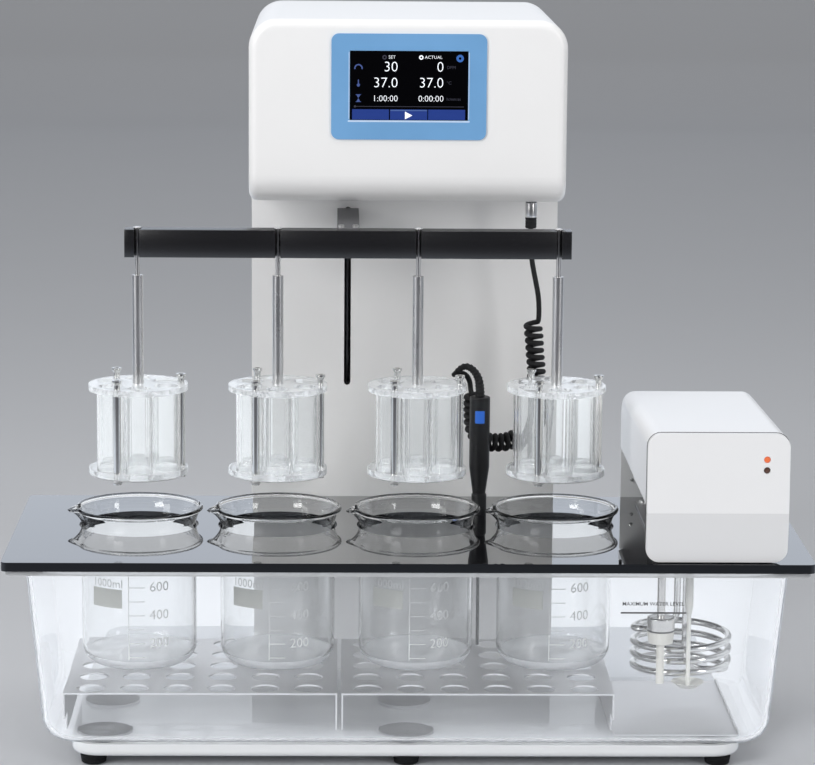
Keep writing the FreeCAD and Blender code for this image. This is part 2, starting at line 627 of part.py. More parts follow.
bezel = prism(
    "bezel_body", "XZ_Plane",
    rectangle(spread("bezel_width", "bezel_middle_x"), ("bezel_low", "bezel_low + bezel_height"),
              "bezel_corner"),
    "head_front_y - bezel_thick", "head_front_y",
)
screen_x = spread("screen_width", "bezel_middle_x")
screen_z = ("screen_low", "screen_low + screen_height")
aperture = box("bezel_window", screen_x,
               ("head_front_y - bezel_thick - past", "head_front_y + past"), screen_z)
node("screen_bezel", cut("bezel", bezel, [aperture]))
node("touch_screen", box(
    "screen", spread("screen_width - 2 * screen_gap", "bezel_middle_x"),
    ("head_front_y - bezel_thick + screen_setback", "head_front_y + screen_depth"),
    ("screen_low + screen_gap", "screen_low + screen_height - screen_gap"),
))

inlet_x = spread("inlet_width", "inlet_x")
inlet_z = spread("inlet_height", "inlet_z")
cover_x = spread("column_width - 2 * head_wall - 2 * cover_gap")
cover_z = ("base_top + cover_gap", "head_top - head_wall - cover_gap")
cover = prism("cover_blank", "XZ_Plane", [
    (cover_x[0], cover_z[0]), (cover_x[1], cover_z[0]),
    (cover_x[1], cover_z[1], "head_top_corner - head_wall"),
    (cover_x[0], cover_z[1], "head_top_corner - head_wall"),
], "column_back_y - column_sheet", "column_back_y")
inlet_hole = box("inlet_hole", spread("inlet_width + 2 * cover_gap", "inlet_x"),
                 ("column_back_y - column_sheet - past", "column_back_y + past"),
                 spread("inlet_height + 2 * cover_gap", "inlet_z"))
node("rear_cover", cut("cover", cover, [inlet_hole]))

# ---------------------------------------------------------------- power inlet and rocker

inlet_body = box("inlet_body", inlet_x, ("column_back_y - inlet_depth", "column_back_y"), inlet_z)
inlet_rim = box("inlet_flange", spread("inlet_width + 2 * inlet_rim", "inlet_x"),
                ("column_back_y", "column_back_y + inlet_rim_thick"),
                spread("inlet_height + 2 * inlet_rim", "inlet_z"))
inlet_mouth = "column_back_y + inlet_rim_thick"
socket_z = spread("socket_height", "socket_middle_z")
socket = box("socket", spread("socket_width", "inlet_x"),
             (f"{inlet_mouth} - socket_depth", f"{inlet_mouth} + past"), socket_z)
rocker_well = box("rocker_well", spread("rocker_width + 2 * rocker_gap", "inlet_x"),
                  ("column_back_y - rocker_depth - rocker_well_floor", f"{inlet_mouth} + past"),
                  spread("rocker_height + 4 * rocker_gap", "rocker_middle_z"))
pins = [
    box(f"pin_{i}", spread("pin_width", f"inlet_x + {i} * pin_pitch"),
        (f"{inlet_mouth} - socket_depth - past", f"{inlet_mouth} - socket_depth + pin_length"),
        spread("pin_height", "socket_middle_z + socket_height / 2 - pin_height"))
    for i in (-1, 0, 1)
]
axle_hole = rod("axle_hole", "rocker_axle + 2 * running_gap",
                spread("rocker_axle_length + 2 * seat_gap", "inlet_x"), "rocker_pivot_y", "rocker_middle_z")
inlet = cut("inlet_open", fuse("inlet_blank", [inlet_body, inlet_rim]), [socket, rocker_well, axle_hole])
node("mains_inlet", fuse("inlet", [inlet] + pins))

rocker = prism("rocker_body", "YZ_Plane", [
    ("-rocker_depth / 2", "-rocker_height / 4"), ("0", "-rocker_height / 2"),
    ("rocker_depth / 2", "-rocker_height / 2"), ("rocker_depth / 2 - rocker_dip", "0"),
    ("rocker_depth / 2", "rocker_height / 2"), ("0", "rocker_height / 2"),
    ("-rocker_depth / 2", "rocker_height / 4"),
], "-rocker_width / 2", "rocker_width / 2")
rocker.Placement = Placement(Vector(), Rotation(Vector(1, 0, 0), size("rocker_tilt")))
place(rocker, "inlet_x - rocker_width / 2", "rocker_pivot_y", "rocker_middle_z")
axle = rod("rocker_axle", "rocker_axle", spread("rocker_axle_length", "inlet_x"),
           "rocker_pivot_y", "rocker_middle_z")
node("power_switch", fuse("rocker_on_axle", [rocker, axle]))

# ---------------------------------------------------------------- lift drive

beam_x = spread("beam_length", "station_middle_x")
beam = box("beam_blank", beam_x, ("beam_front_y", "beam_back_y"), ("beam_low", "beam_top"))
hooks = []
for number in STATIONS:
    x = station_x(number)
    span = ("beam_low - past", "beam_top + past")
    hooks.append(box(f"hook_way_{number}", spread("hook_slot", x),
                     ("beam_front_y - past", "beaker_row_y"), span))
    hooks.append(rod(f"hook_seat_{number}", "hook_slot", x, "beaker_row_y", span))
tab_y = "beam_back_y - tab_length / 2"
screw_places = [f"station_middle_x + {side} * arm_screw_pitch / 2" for side in (-1, 1)]
screw_low = "arm_high - arm_screw_length"
tapped = [
    rod(f"tapped_{i}", "arm_screw_shank + 2 * seat_gap", x, tab_y, (f"{screw_low} - past", "arm_high + past"))
    for i, x in enumerate(screw_places)
]
node("hanger_beam", cut("beam", beam, hooks + tapped))

arm_x = spread("arm_width", "station_middle_x")
arm_bar = box("arm_bar", arm_x, ("beam_back_y", "arm_back_y"), ("arm_low", "arm_high"))
arm_tab = box("arm_tab", arm_x, ("beam_back_y - tab_length", "beam_back_y"), ("beam_top", "arm_high"))
arm_blade = box("arm_blade", spread("blade_width", "station_middle_x"), ("arm_back_y", "carriage_front_y"),
                ("arm_low", "beam_top"))
tab_holes = [
    rod(f"tab_hole_{i}", "arm_screw_shank + 2 * seat_gap", x, tab_y, ("beam_top - past", "arm_high + past"))
    for i, x in enumerate(screw_places)
]
node("drive_arm", cut("arm", fuse("arm_blank", [arm_bar, arm_tab, arm_blade]), tab_holes))

screws = [
    turned(f"arm_screw_{i}", [
        ("0", screw_low), ("arm_screw_shank / 2", screw_low), ("arm_screw_shank / 2", "arm_high"),
        ("arm_screw_head / 2", "arm_high"), ("arm_screw_head / 2", "arm_high + arm_screw_head_thick"),
        ("0", "arm_high + arm_screw_head_thick"),
    ], x, tab_y)
    for i, x in enumerate(screw_places)
]
node("arm_screws", group("screws", screws))

carriage_z = ("carriage_low", "carriage_low + carriage_height")
carriage = box("carriage_blank", spread("carriage_width", "station_middle_x"),
               ("carriage_front_y", "carriage_front_y + carriage_depth"), carriage_z)
guide_places = [f"station_middle_x + {side} * guide_pitch / 2" for side in (-1, 1)]
bore_z = ("carriage_low - past", "carriage_low + carriage_height + past")
bores = [rod(f"guide_bore_{i}", "guide_rod + 2 * running_gap", x, "carriage_middle_y", bore_z)
         for i, x in enumerate(guide_places)]
bores.append(rod("nut_bore", "screw_diameter + 2 * running_gap", "station_middle_x",
                 "carriage_middle_y", bore_z))
node("carriage", cut("carriage_bored", carriage, bores))

guides = [rod(f"guide_{i}", "guide_rod", x, "carriage_middle_y", ("lower_block_low", "upper_block_high"))
          for i, x in enumerate(guide_places)]
node("guide_rods", group("guides", guides))

motor_low = "lower_block_low - drive_motor_height"
screw_end = "lower_block_low - motor_shaft_depth"
node("lead_screw", turned("screw_turned", [
    ("0", screw_end), ("screw_journal / 2", screw_end), ("screw_journal / 2", "lower_block_high"),
    ("screw_diameter / 2", "lower_block_high + seat_gap"),
    ("screw_diameter / 2", "upper_block_low - seat_gap"), ("screw_journal / 2", "upper_block_low"),
    ("screw_journal / 2", "upper_block_high"), ("0", "upper_block_high"),
], "station_middle_x", "carriage_middle_y"))

frame_x = spread("frame_width", "station_middle_x")
back_plate = box("frame_back", frame_x, ("frame_plate_y", "frame_plate_y + frame_plate"),
                 ("base_top", "upper_block_high"))
foot_plate = box("frame_foot", frame_x, ("carriage_front_y", "frame_plate_y"),
                 ("base_top", "base_top + frame_plate"))
blocks = [
    box(f"frame_{name}_block", frame_x, ("carriage_front_y", "frame_plate_y"),
        (f"{name}_block_low", f"{name}_block_high"))
    for name in ("lower", "upper")
]
all_the_way = ("lower_block_low - past", "upper_block_high + past")
seats = [rod(f"guide_seat_{i}", "guide_rod", x, "carriage_middle_y", all_the_way)
         for i, x in enumerate(guide_places)]
seats.append(rod("screw_bearing", "screw_journal + 2 * running_gap", "station_middle_x",
                 "carriage_middle_y", all_the_way))
node("drive_frame", cut("frame", fuse("frame_blank", [back_plate, foot_plate] + blocks), seats))

motor = box("motor_case", spread("drive_motor_side", "station_middle_x"),
            spread("drive_motor_side - 2", "carriage_middle_y"), (motor_low, "lower_block_low"))
motor_bore = rod("motor_bore", "screw_journal + 2 * running_gap", "station_middle_x",
                 "carriage_middle_y", (f"{screw_end} - past", "lower_block_low + past"))
node("drive_motor", cut("motor", motor, [motor_bore]))

# ---------------------------------------------------------------- baskets


def around(number, radius, angle):
    """A place on a circle of the basket, turned as that basket hangs."""
    turn = f"{angle} + basket_{number}_turn"
    return (f"{station_x(number)} + {radius} * cos({turn})", f"beaker_row_y + {radius} * sin({turn})")


def tube_plate(number, name, upside_down):
    """A clear end plate: drilled for the tubes, with a seat for each on one side."""
    low = "basket_low + plate_thick" if upside_down else "upper_plate_low"
    plate = doc.addObject("PartDesign::Body", name)
    face = sketch_on(plate, "XY_Plane", f"{name}_outline")
    rim = face.addGeometry(Part.Circle(Vector(), Vector(0, 0, 1), size("plate_diameter") / 2))
    face.addConstraint(Sketcher.Constraint("Coincident", rim, 3, -1, 1))
    width = face.addConstraint(Sketcher.Constraint("Diameter", rim, size("plate_diameter")))
    face.setExpression(f"Constraints[{width}]", formula("plate_diameter"))
    pad = plate.newObject("PartDesign::Pad", f"{name}_pad")
    pad.Profile = face
    pad.setExpression("Length", formula("plate_thick"))
    doc.recompute()

    def ring(radius, angles):
        return [(f"{radius} * cos({angle})", f"{radius} * sin({angle})") for angle in angles]
    drill(plate, ring("tube_circle", TUBE_ANGLES), "plate_hole")
    drill(plate, ring("tube_circle", TUBE_ANGLES), "tube_outer + 2 * seat_gap", "tube_seat")
    drill(plate, ring("bolt_circle", BOLT_ANGLES), "bolt_thread + 2 * seat_gap")
    if not upside_down:
        drill(plate, [("0", "0")], "hanger_spigot + 2 * seat_gap")
    flip = Rotation(Vector(1, 0, 0), 180 if upside_down else 0)
    plate.Placement = Placement(Vector(), Rotation(Vector(0, 0, 1), size(f"basket_{number}_turn")) * flip)
    return place(plate, station_x(number), "beaker_row_y", low)


def basket(number):
    """Everything that hangs on one rod."""
    name, middle = f"basket_{number}", (station_x(number), "beaker_row_y")
    head_low = "beam_top + seat_gap"
    node(f"{name}_hanger", turned(f"{name}_rod", [
        ("0", "upper_plate_low"), ("hanger_spigot / 2", "upper_plate_low"),
        ("hanger_spigot / 2", "basket_top"),
        ("hanger_sleeve / 2", "basket_top"), ("hanger_sleeve / 2", "hanger_neck_low"),
        ("hanger_neck / 2", "hanger_neck_low"), ("hanger_neck / 2", head_low),
        ("hanger_head / 2", head_low), ("hanger_head / 2", f"{head_low} + hanger_head_thick"),
        ("0", f"{head_low} + hanger_head_thick"),
    ], *middle))

    plates = [tube_plate(number, f"{name}_upper_plate", False),
              tube_plate(number, f"{name}_lower_plate", True)]
    node(f"{name}_plates", group(f"{name}_plate_pair", plates))

    span = ("tube_low", "tube_low + tube_length")
    outsides, insides, discs = [], [], []
    for i, angle in enumerate(TUBE_ANGLES):
        x, y = around(number, "tube_circle", angle)
        outsides.append(rod(f"{name}_tube_{i}", "tube_outer", x, y, span))
        insides.append(rod(f"{name}_bore_{i}", "tube_outer - 2 * tube_wall", x, y,
                           (f"{span[0]} - past", f"{span[1]} + past")))
        disc_z = ("basket_low + seat_gap", "basket_low + seat_gap + disc_thick")
        discs.append(rod(f"{name}_disc_{i}", "disc_diameter", x, y, disc_z))
    node(f"{name}_tubes", cut(f"{name}_tube_ring", group(f"{name}_tube_rods", outsides), insides))
    node(f"{name}_discs", group(f"{name}_disc_ring", discs))

    foot_low = "basket_low - bolt_foot_drop"
    shoulder = "basket_low + plate_thick"
    fasteners, stems = [], []
    for i, angle in enumerate(BOLT_ANGLES):
        x, y = around(number, "bolt_circle", angle)
        thread_top = "basket_top + nut_height - thread_sunk"
        fasteners.append(turned(f"{name}_spacer_{i}", [
            ("0", foot_low), ("bolt_foot / 2", foot_low), ("bolt_foot / 2", f"{foot_low} + bolt_foot_thick"),
            ("bolt_thread / 2", f"{foot_low} + bolt_foot_thick"), ("bolt_thread / 2", shoulder),
            ("spacer_diameter / 2", shoulder), ("spacer_diameter / 2", "upper_plate_low"),
            ("bolt_thread / 2", "upper_plate_low"), ("bolt_thread / 2", thread_top), ("0", thread_top),
        ], x, y))
        bore = "bolt_thread / 2 + seat_gap / 2"
        fasteners.append(turned(f"{name}_nut_{i}", [
            (bore, "basket_top"), ("nut_low_diameter / 2", "basket_top"),
            ("nut_low_diameter / 2", "basket_top + nut_height / 2"),
            ("nut_top_diameter / 2", "basket_top + nut_height * 0.8"),
            ("nut_top_diameter / 2", "basket_top + nut_height"), (bore, "basket_top + nut_height"),
        ], x, y))
        stems.append(rod(f"{name}_mesh_hole_{i}", "bolt_thread + 4 * seat_gap", x, y,
                         ("basket_low - mesh_thick - past", "basket_low + past")))
    node(f"{name}_bolts", group(f"{name}_fasteners", fasteners))

    mesh = rod(f"{name}_mesh_disc", "plate_diameter - 2 * mesh_inset", *middle,
               ("basket_low - mesh_thick", "basket_low"))
    node(f"{name}_mesh", cut(f"{name}_mesh_cut", mesh, stems))


for number in STATIONS:
    basket(number)

# ---------------------------------------------------------------- heater casing

panel = prism("panel_body", "YZ_Plane", [
    ("panel_front_y + crease_setback", "panel_low"), ("panel_back_y", "panel_low"),
    ("panel_back_y", "heater_top"), ("panel_front_y + panel_lean", "heater_top"),
    ("panel_front_y", "crease_height"),
], "heater_left_x", "heater_right_x")
panel_middle_x = size("heater_left_x + heater_width / 2")


def panel_corner(edge):
    ends = edge.BoundBox
    at_end = abs(abs(ends.Center.x - panel_middle_x) - size("heater_width") / 2) < 1e-3
    high = abs(ends.Center.z - size("heater_top")) < 1e-3
    low = abs(ends.Center.z - size("panel_low")) < 1e-3
    return at_end and (high or low) and lies_along(edge, "Y")


soften(panel, "panel_corner", panel_corner)
light_heights = ("light_high_z", "light_low_z")
panel_through = ("panel_front_y - past", "panel_back_y + past")
light_holes = [rod(f"light_hole_{i}", "light_diameter + 2 * seat_gap", "light_x", panel_through, z)
               for i, z in enumerate(light_heights)]
node("heater_front_panel", cut("panel", panel, light_holes))
lights = [
    rod(f"light_{i}", "light_diameter", "light_x",
        ("panel_front_y + panel_lean - light_proud", "panel_back_y"), z)
    for i, z in enumerate(light_heights)
]
node("indicator_lights", group("lights", lights))


def hood_block(name, x, y, z, less):
    """The hood's form, which falls a little towards the back, drawn in by less on every radius."""
    body = prism(name, "YZ_Plane", [
        (y[0], z[0]), (y[1], z[0]), (y[1], f"{z[1]} - hood_fall", f"hood_back_radius - {less}"), (y[0], z[1]),
    ], x[0], x[1])
    low_x, high_x = size(x[0]), size(x[1])
    low_z = size(z[0])

    def side(edge):
        ends = edge.BoundBox
        on_side = min(abs(ends.Center.x - low_x), abs(ends.Center.x - high_x)) < 1e-3 and ends.XLength < 1e-3
        return on_side and ends.ZMax > low_z + 1e-3 and ends.YMax > size(y[0]) + 1e-3
    return soften(body, f"hood_side_radius - {less}", side)


hood_outside = hood_block("hood_outside", ("heater_left_x", "heater_right_x"),
                          ("hood_front_y", "hood_back_y"), ("hood_back_low", "heater_top"), "0")
hood_inside = hood_block("hood_inside", ("heater_left_x + hood_wall", "heater_right_x - hood_wall"),
                         ("hood_front_y - past", "hood_back_y - hood_wall"),
                         ("hood_back_low - past", "heater_top - hood_wall"), "hood_wall")
under_sides = box("hood_under", ("heater_left_x - past", "heater_right_x + past"),
                  ("hood_front_y - past", "hood_back_y - hood_wall"),
                  ("hood_back_low - past", "hood_side_low"))
hood_tail = box("hood_tail", ("heater_left_x + hood_tail_inset", "heater_right_x - hood_tail_inset"),
                ("hood_back_y - hood_wall", "hood_back_y"), ("hood_back_low", "hood_side_low"))
node("heater_hood", fuse("hood", [cut("hood_open", hood_outside, [hood_inside, under_sides]), hood_tail]))

chassis_x = ("chassis_left_x", "chassis_right_x")
inside_top = "heater_top - hood_wall - hood_fall"
wall_x = ("chassis_left_x + chassis_wall_inset", "chassis_right_x")
floor_plate = box("chassis_floor", chassis_x, ("hood_front_y", "chassis_back_y"),
                  ("deck_top + seat_gap", "deck_top + chassis_sheet"))
front_flange = box("chassis_front", wall_x, ("hood_front_y", "hood_front_y + chassis_sheet"),
                   ("deck_top + chassis_sheet", inside_top))
back_flange = box("chassis_back", wall_x, ("chassis_back_y - chassis_sheet", "chassis_back_y"),
                  ("deck_top + chassis_sheet", inside_top))
through_floor = ("deck_top - past", "deck_top + chassis_sheet + past")
leg_places = ["coil_x - coil_leg_pitch / 2", "coil_x + coil_leg_pitch / 2"]
ports = [rod(f"leg_port_{i}", "coil_rod + 2 * seat_gap", x, "coil_y", through_floor)
         for i, x in enumerate(leg_places)]
ports.append(rod("pump_port", "pump_tube + 2 * seat_gap", "pump_x", "pump_y", through_floor))
ports.append(rod("sensor_port", "sensor_tube + 2 * seat_gap", "sensor_x", "sensor_y", through_floor))
node("heater_chassis", cut("chassis", fuse("chassis_blank", [floor_plate, front_flange, back_flange]), ports))

# ---------------------------------------------------------------- heating coil, pump and level sensor


def coil_points(per_turn=12):
    """Down one leg, out along its arm, round the turns and back up the other leg."""
    x, y, low, high = size("coil_x"), size("coil_y"), size("coil_low"), size("coil_high")
    inner, outer = size(leg_places[0]), size(leg_places[1])
    reach = size("coil_radius") / math.cos(math.pi / per_turn)
    points = [(outer, y, size("leg_top")), (outer, y, low)]
    for i in range(round(per_turn * size("coil_turns")) + 1):
        angle = 2 * math.pi * i / per_turn
        rise = size("coil_pitch") * i / per_turn
        points.append((x + reach * math.cos(angle), y + reach * math.sin(angle), low + rise))
    return points + [(inner, y, high), (inner, y, size("leg_top"))]


node("heater_coil", fixed("coil", lead(coil_points(), size("coil_rod"), "heating coil", size("coil_elbow"))))

pump_inside_low = "pump_head_low + pump_head_wall"
pump_inside_high = "pump_head_top - pump_head_wall"
node("pump_housing", turned("pump", [
    ("pump_bore / 2", "pump_nozzle_low"), ("pump_tube / 2", "pump_nozzle_low"),
    ("pump_tube / 2", "pump_head_low"), ("pump_head / 2 - pump_head_edge", "pump_head_low"),
    ("pump_head / 2", "pump_head_low + pump_head_height / 2"),
    ("pump_head / 2", "pump_head_top", "pump_head_edge"),
    ("pump_tube / 2", "pump_head_top"), ("pump_tube / 2", "leg_top"), ("pump_bore / 2", "leg_top"),
    ("pump_bore / 2", pump_inside_high), ("pump_chamber / 2", pump_inside_high),
    ("pump_chamber / 2", pump_inside_low), ("pump_bore / 2", pump_inside_low),
], "pump_x", "pump_y"))
impeller_low = "pump_head_low + pump_head_height / 2 - impeller_height / 2"
impeller_high = f"{impeller_low} + impeller_height"
motor_floor = "deck_top + chassis_sheet + pump_motor_lift"
node("pump_impeller", turned("impeller", [
    ("0", impeller_low), ("impeller_diameter / 2", impeller_low), ("impeller_diameter / 2", impeller_high),
    ("impeller_shaft / 2", impeller_high), ("impeller_shaft / 2", f"{motor_floor} + motor_shaft_reach"),
    ("0", f"{motor_floor} + motor_shaft_reach"),
], "pump_x", "pump_y"))
motor_can = box("pump_motor_can", ("pump_x - pump_motor_left", "pump_x - pump_motor_left + pump_motor_side"),
                spread("pump_motor_side", "pump_y"), (motor_floor, f"{motor_floor} + pump_motor_height"))
motor_legs = [
    box(f"pump_motor_leg_{i}", ("pump_x + motor_leg_left", "pump_x + motor_leg_left + motor_leg_width"),
        spread("motor_leg_depth", f"pump_y + {side} * pump_motor_side / 3"),
        ("deck_top + chassis_sheet", motor_floor))
    for i, side in enumerate((-1, 1))
]
can_bore = rod("pump_motor_bore", "impeller_shaft + 2 * running_gap", "pump_x", "pump_y",
               (f"{motor_floor} - past", f"{motor_floor} + motor_bore_depth"))
node("pump_motor", cut("pump_motor_body", fuse("pump_motor_blank", [motor_can] + motor_legs), [can_bore]))

cone_low = "sensor_step - sensor_cone"
node("level_sensor", turned("sensor", [
    ("0", "sensor_low"), ("sensor_cup / 4", "sensor_low"),
    ("sensor_cup / 2", "sensor_low + sensor_cup_height"),
    ("sensor_cup / 2 - sensor_cup_wall", "sensor_low + sensor_cup_height"),
    ("sensor_rod / 2", "sensor_low + sensor_cup_floor"),
    ("sensor_rod / 2", cone_low), ("sensor_tube / 2", "sensor_step"),
    ("sensor_tube / 2", "leg_top"), ("0", "leg_top"),
], "sensor_x", "sensor_y"))

# ---------------------------------------------------------------- probe and its lead

collar_top = "deck_top + seat_gap + probe_collar_height"
node("probe_handle", turned("probe", [
    ("0", "probe_tip"), ("probe_stem / 2", "probe_tip"), ("probe_stem / 2", "deck_top + seat_gap"),
    ("probe_collar / 2", "deck_top + seat_gap"), ("probe_collar / 2", collar_top, "probe_collar_radius"),
    ("probe_neck / 2", f"{collar_top} + probe_groove_gap"),
    ("probe_neck / 2", f"{collar_top} + probe_groove_gap + probe_groove"),
    ("probe_handle / 2", "probe_taper_top", "probe_taper_radius"),
    ("probe_handle / 2", "probe_top", "probe_top_radius"), ("0", "probe_top"),
], "probe_x", "probe_y"))

node("probe_plug", rod("plug", "plug_barrel", "plug_x", "plug_y", ("plug_low", "head_low")))

relief_path = round_path(RELIEF, "relief")
relief_ends = [Vector(*point) for point in (RELIEF[0], RELIEF[1], RELIEF[-2], RELIEF[-1])]
relief_sections = [
    circle_across(relief_ends[0], relief_ends[1] - relief_ends[0], size("relief_diameter")),
    circle_across(relief_ends[3], relief_ends[3] - relief_ends[2], size("relief_end")),
]
relief = fixed("handle_relief", relief_path.makePipeShell(relief_sections, True, False))
sleeve = rod("plug_relief", "plug_sleeve", "plug_x", "plug_y", ("lead_exit", "plug_low"))
node("probe_reliefs", group("reliefs", [relief, sleeve]))

lead_start = (size("plug_x"), size("plug_y"), size("lead_exit"))
upper = fixed("lead_upper", lead([lead_start] + LEAD_UPPER, size("lead_diameter"), "upper lead"))
lower = fixed("lead_lower", lead(LEAD_LOWER, size("lead_diameter"), "lower lead"))
node("probe_cable", group("lead_ends", [upper, lower]))
node("probe_cable_coil", fixed("lead_curly", lead(LEAD_CURLY, size("lead_coil_diameter"), "curly lead")))

# ---------------------------------------------------------------- checks and files

doc.recompute()
for item in doc.Objects:
    if "Invalid" in item.State or "Error" in item.State:
        raise RuntimeError(f"{item.Label} failed: {item.State}")
for item in nodes:
    if item.Shape.isNull() or not item.Shape.isValid() or not item.Shape.Solids:
        raise RuntimeError(f"{item.Label} has no valid solid")

os.makedirs("parts", exist_ok=True)
for item in nodes:
    item.Shape.exportStep(f"parts/{item.Label}.step")
print(f"{len(nodes)} sub-parts written")
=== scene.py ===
import bpy
import bmesh
import math
from mathutils import Matrix, Vector
from mathutils.bvhtree import BVHTree


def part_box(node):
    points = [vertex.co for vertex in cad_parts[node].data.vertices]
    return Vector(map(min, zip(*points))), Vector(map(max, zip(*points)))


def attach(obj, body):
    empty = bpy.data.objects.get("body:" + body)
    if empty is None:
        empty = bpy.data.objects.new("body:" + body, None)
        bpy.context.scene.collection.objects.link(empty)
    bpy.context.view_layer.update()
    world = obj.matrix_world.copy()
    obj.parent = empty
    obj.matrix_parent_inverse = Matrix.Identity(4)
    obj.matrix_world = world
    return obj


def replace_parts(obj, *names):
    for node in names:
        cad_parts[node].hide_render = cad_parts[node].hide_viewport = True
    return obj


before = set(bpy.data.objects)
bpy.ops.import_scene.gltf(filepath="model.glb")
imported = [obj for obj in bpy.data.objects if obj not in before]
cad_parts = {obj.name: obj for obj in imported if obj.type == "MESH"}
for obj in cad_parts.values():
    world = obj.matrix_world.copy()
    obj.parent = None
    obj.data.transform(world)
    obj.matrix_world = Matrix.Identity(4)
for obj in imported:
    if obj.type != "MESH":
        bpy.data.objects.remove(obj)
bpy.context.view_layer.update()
print("frame loaded:", len(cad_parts), "nodes")

mm = 0.001
stations = (1, 2, 3, 4)


def boxOf(node):
    # low corner, high corner and middle of one of the frame's own pieces
    low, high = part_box(node)
    return low, high, [(a + b) / 2 for a, b in zip(low, high)]


stationX = [boxOf(f"basket_{k}_plates")[2][0] for k in stations]
stationY = boxOf("basket_1_hanger")[2][1]
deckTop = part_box("bath_deck")[1][2]
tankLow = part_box("water_bath_tank")[0][2]


# camera

camera = {"place": (-63.7, -2986.5, 848.3), "down": 10.106, "right": 1.268, "roll": 0.464,
          "focalPixels": 3238.13, "imageWidth": 815, "sensorWidth": 36, "clipEnd": 50}


def addCamera():
    down, right, roll = (math.radians(camera[key]) for key in ("down", "right", "roll"))
    ahead = Vector((math.sin(right) * math.cos(down), math.cos(right) * math.cos(down), -math.sin(down)))
    level = Vector((math.cos(right), -math.sin(right), 0))
    over = level.cross(ahead)
    across = level * math.cos(roll) + over * math.sin(roll)
    up = over * math.cos(roll) - level * math.sin(roll)
    data = bpy.data.cameras.new("camera")
    data.sensor_width = camera["sensorWidth"]
    data.lens = camera["sensorWidth"] * camera["focalPixels"] / camera["imageWidth"]
    data.clip_end = camera["clipEnd"]
    eye = bpy.data.objects.new("camera", data)
    turn = Matrix((across, up, -ahead)).transposed().to_4x4()
    eye.matrix_world = Matrix.Translation(Vector(camera["place"]) * mm) @ turn
    bpy.context.collection.objects.link(eye)
    bpy.context.scene.camera = eye


addCamera()


# shader expressions

def inputOf(node, key):
    # an input by its name, with _ for each space, or by its number, as in _6
    return node.inputs[int(key[1:])] if key[0] == "_" else node.inputs[key.replace("_", " ")]


class Flow:
    # one socket of a material; sums and products of flows add Math nodes
    def __init__(self, graph, socket):
        self.graph, self.socket = graph, socket

    def math(self, operation, *values):
        return self.graph.add("Math", {"operation": operation}, *values)[0]

    def __add__(self, other):
        return self.math("ADD", self, other)

    def __sub__(self, other):
        return self.math("SUBTRACT", self, other)

    def __rsub__(self, other):
        return self.math("SUBTRACT", other, self)

    def __mul__(self, other):
        return self.math("MULTIPLY", self, other)

    def __gt__(self, other):
        return self.math("GREATER_THAN", self, other)

    def __lt__(self, other):
        return self.math("LESS_THAN", self, other)

    def limited(self):
        # held between 0 and 1
        return self.math("MINIMUM", self.math("MAXIMUM", self, 0.0), 1.0)

    __radd__, __rmul__ = __add__, __mul__


class Graph:
    # the nodes of a material, or of the world, under construction
    def __init__(self, name, world=False):
        self.owner = bpy.data.worlds.new(name) if world else bpy.data.materials.new(name)
        self.owner.use_nodes = True
        self.tree = self.owner.node_tree
        self.tree.nodes.clear()

    def add(self, kind, settings=None, *values, **named):
        # the outputs of a new node, whose inputs are fed in their order or as inputOf says
        node = self.tree.nodes.new("ShaderNode" + kind)
        for key, value in (settings or {}).items():
            setattr(node, key, value)
        for i, value in enumerate(values):
            self.feed(node.inputs[i], value)
        for key, value in named.items():
            self.feed(inputOf(node, key), value)
        return [Flow(self, socket) for socket in node.outputs]

    def feed(self, socket, value):
        if isinstance(value, Flow):
            self.tree.links.new(value.socket, socket)
        elif isinstance(value, tuple) and len(value) == 3 and socket.type == "RGBA":
            socket.default_value = (*value, 1)
        else:
            socket.default_value = value

    def noise(self, scale, detail, stretch=(1, 1, 1)):
        place = self.add("Mapping", None, self.add("TexCoord")[3], Scale=stretch)[0]
        return self.add("TexNoise", None, Vector=place, Scale=scale, Detail=detail)[0]

    def mix(self, share, first, second):
        return self.add("Mix", {"data_type": "RGBA"}, share, _6=first, _7=second)[2]

    def bump(self, height, strength, distance=0.0002):
        return self.add("Bump", None, Height=height, Strength=strength, Distance=distance)[0]

    def whereabouts(self, output=3):
        # x, y and z of the point, or of the ray's direction with output 0 in a world
        return self.add("SeparateXYZ", None, self.add("TexCoord")[output])

    def rays(self, *kinds):
        # for each kind of ray, such as Glossy, a flow that is 1 on it and 0 on the others
        found = {flow.socket.name: flow for flow in self.add("LightPath")}
        return [found[f"Is {kind} Ray"] for kind in kinds]

    def surface(self, **named):
        # the material, of one Principled BSDF
        return self.finish(principled(self, **named))

    def finish(self, shader):
        kind = "OutputWorld" if isinstance(self.owner, bpy.types.World) else "OutputMaterial"
        self.add(kind, None, shader)
        return self.owner


def principled(g, **named):
    return g.add("BsdfPrincipled", None, **named)[0]


def shaded(colour, level):
    return tuple(c * level for c in colour)


def paint(name, colour, roughness, grain, relief, paintedShadeBelow=None, coat=(0.25, 0.18)):
    # sprayed coat: slight orange peel, and a sheen that wanders a little; below the given height a painted
    # shade, a little darker, for a lower part that turns down from the light
    g = Graph(name)
    cloud = g.noise(9, 3)
    peel = g.noise(grain, 2)
    shade = g.mix(cloud, shaded(colour, 0.965), colour)
    # painted shade: the colour darkens below this height, as for a lower part that gets less light
    if paintedShadeBelow:
        shade = g.mix(g.whereabouts()[2] < paintedShadeBelow, shade, shaded(colour, 0.86))
    return g.surface(Base_Color=shade, Roughness=roughness + 0.10 * cloud,
                     Coat_Weight=coat[0], Coat_Roughness=coat[1], Normal=g.bump(peel, relief))


def mouldedPlastic(name, colour, roughness, grain=900, relief=0.25):
    g = Graph(name)
    cloud = g.noise(30, 2)
    worn = tuple(c * 1.25 + 0.004 for c in colour)
    return g.surface(Base_Color=g.mix(0.6 * cloud, colour, worn), Roughness=roughness + 0.12 * cloud,
                     Normal=g.bump(g.noise(grain, 2), relief, 0.0001))


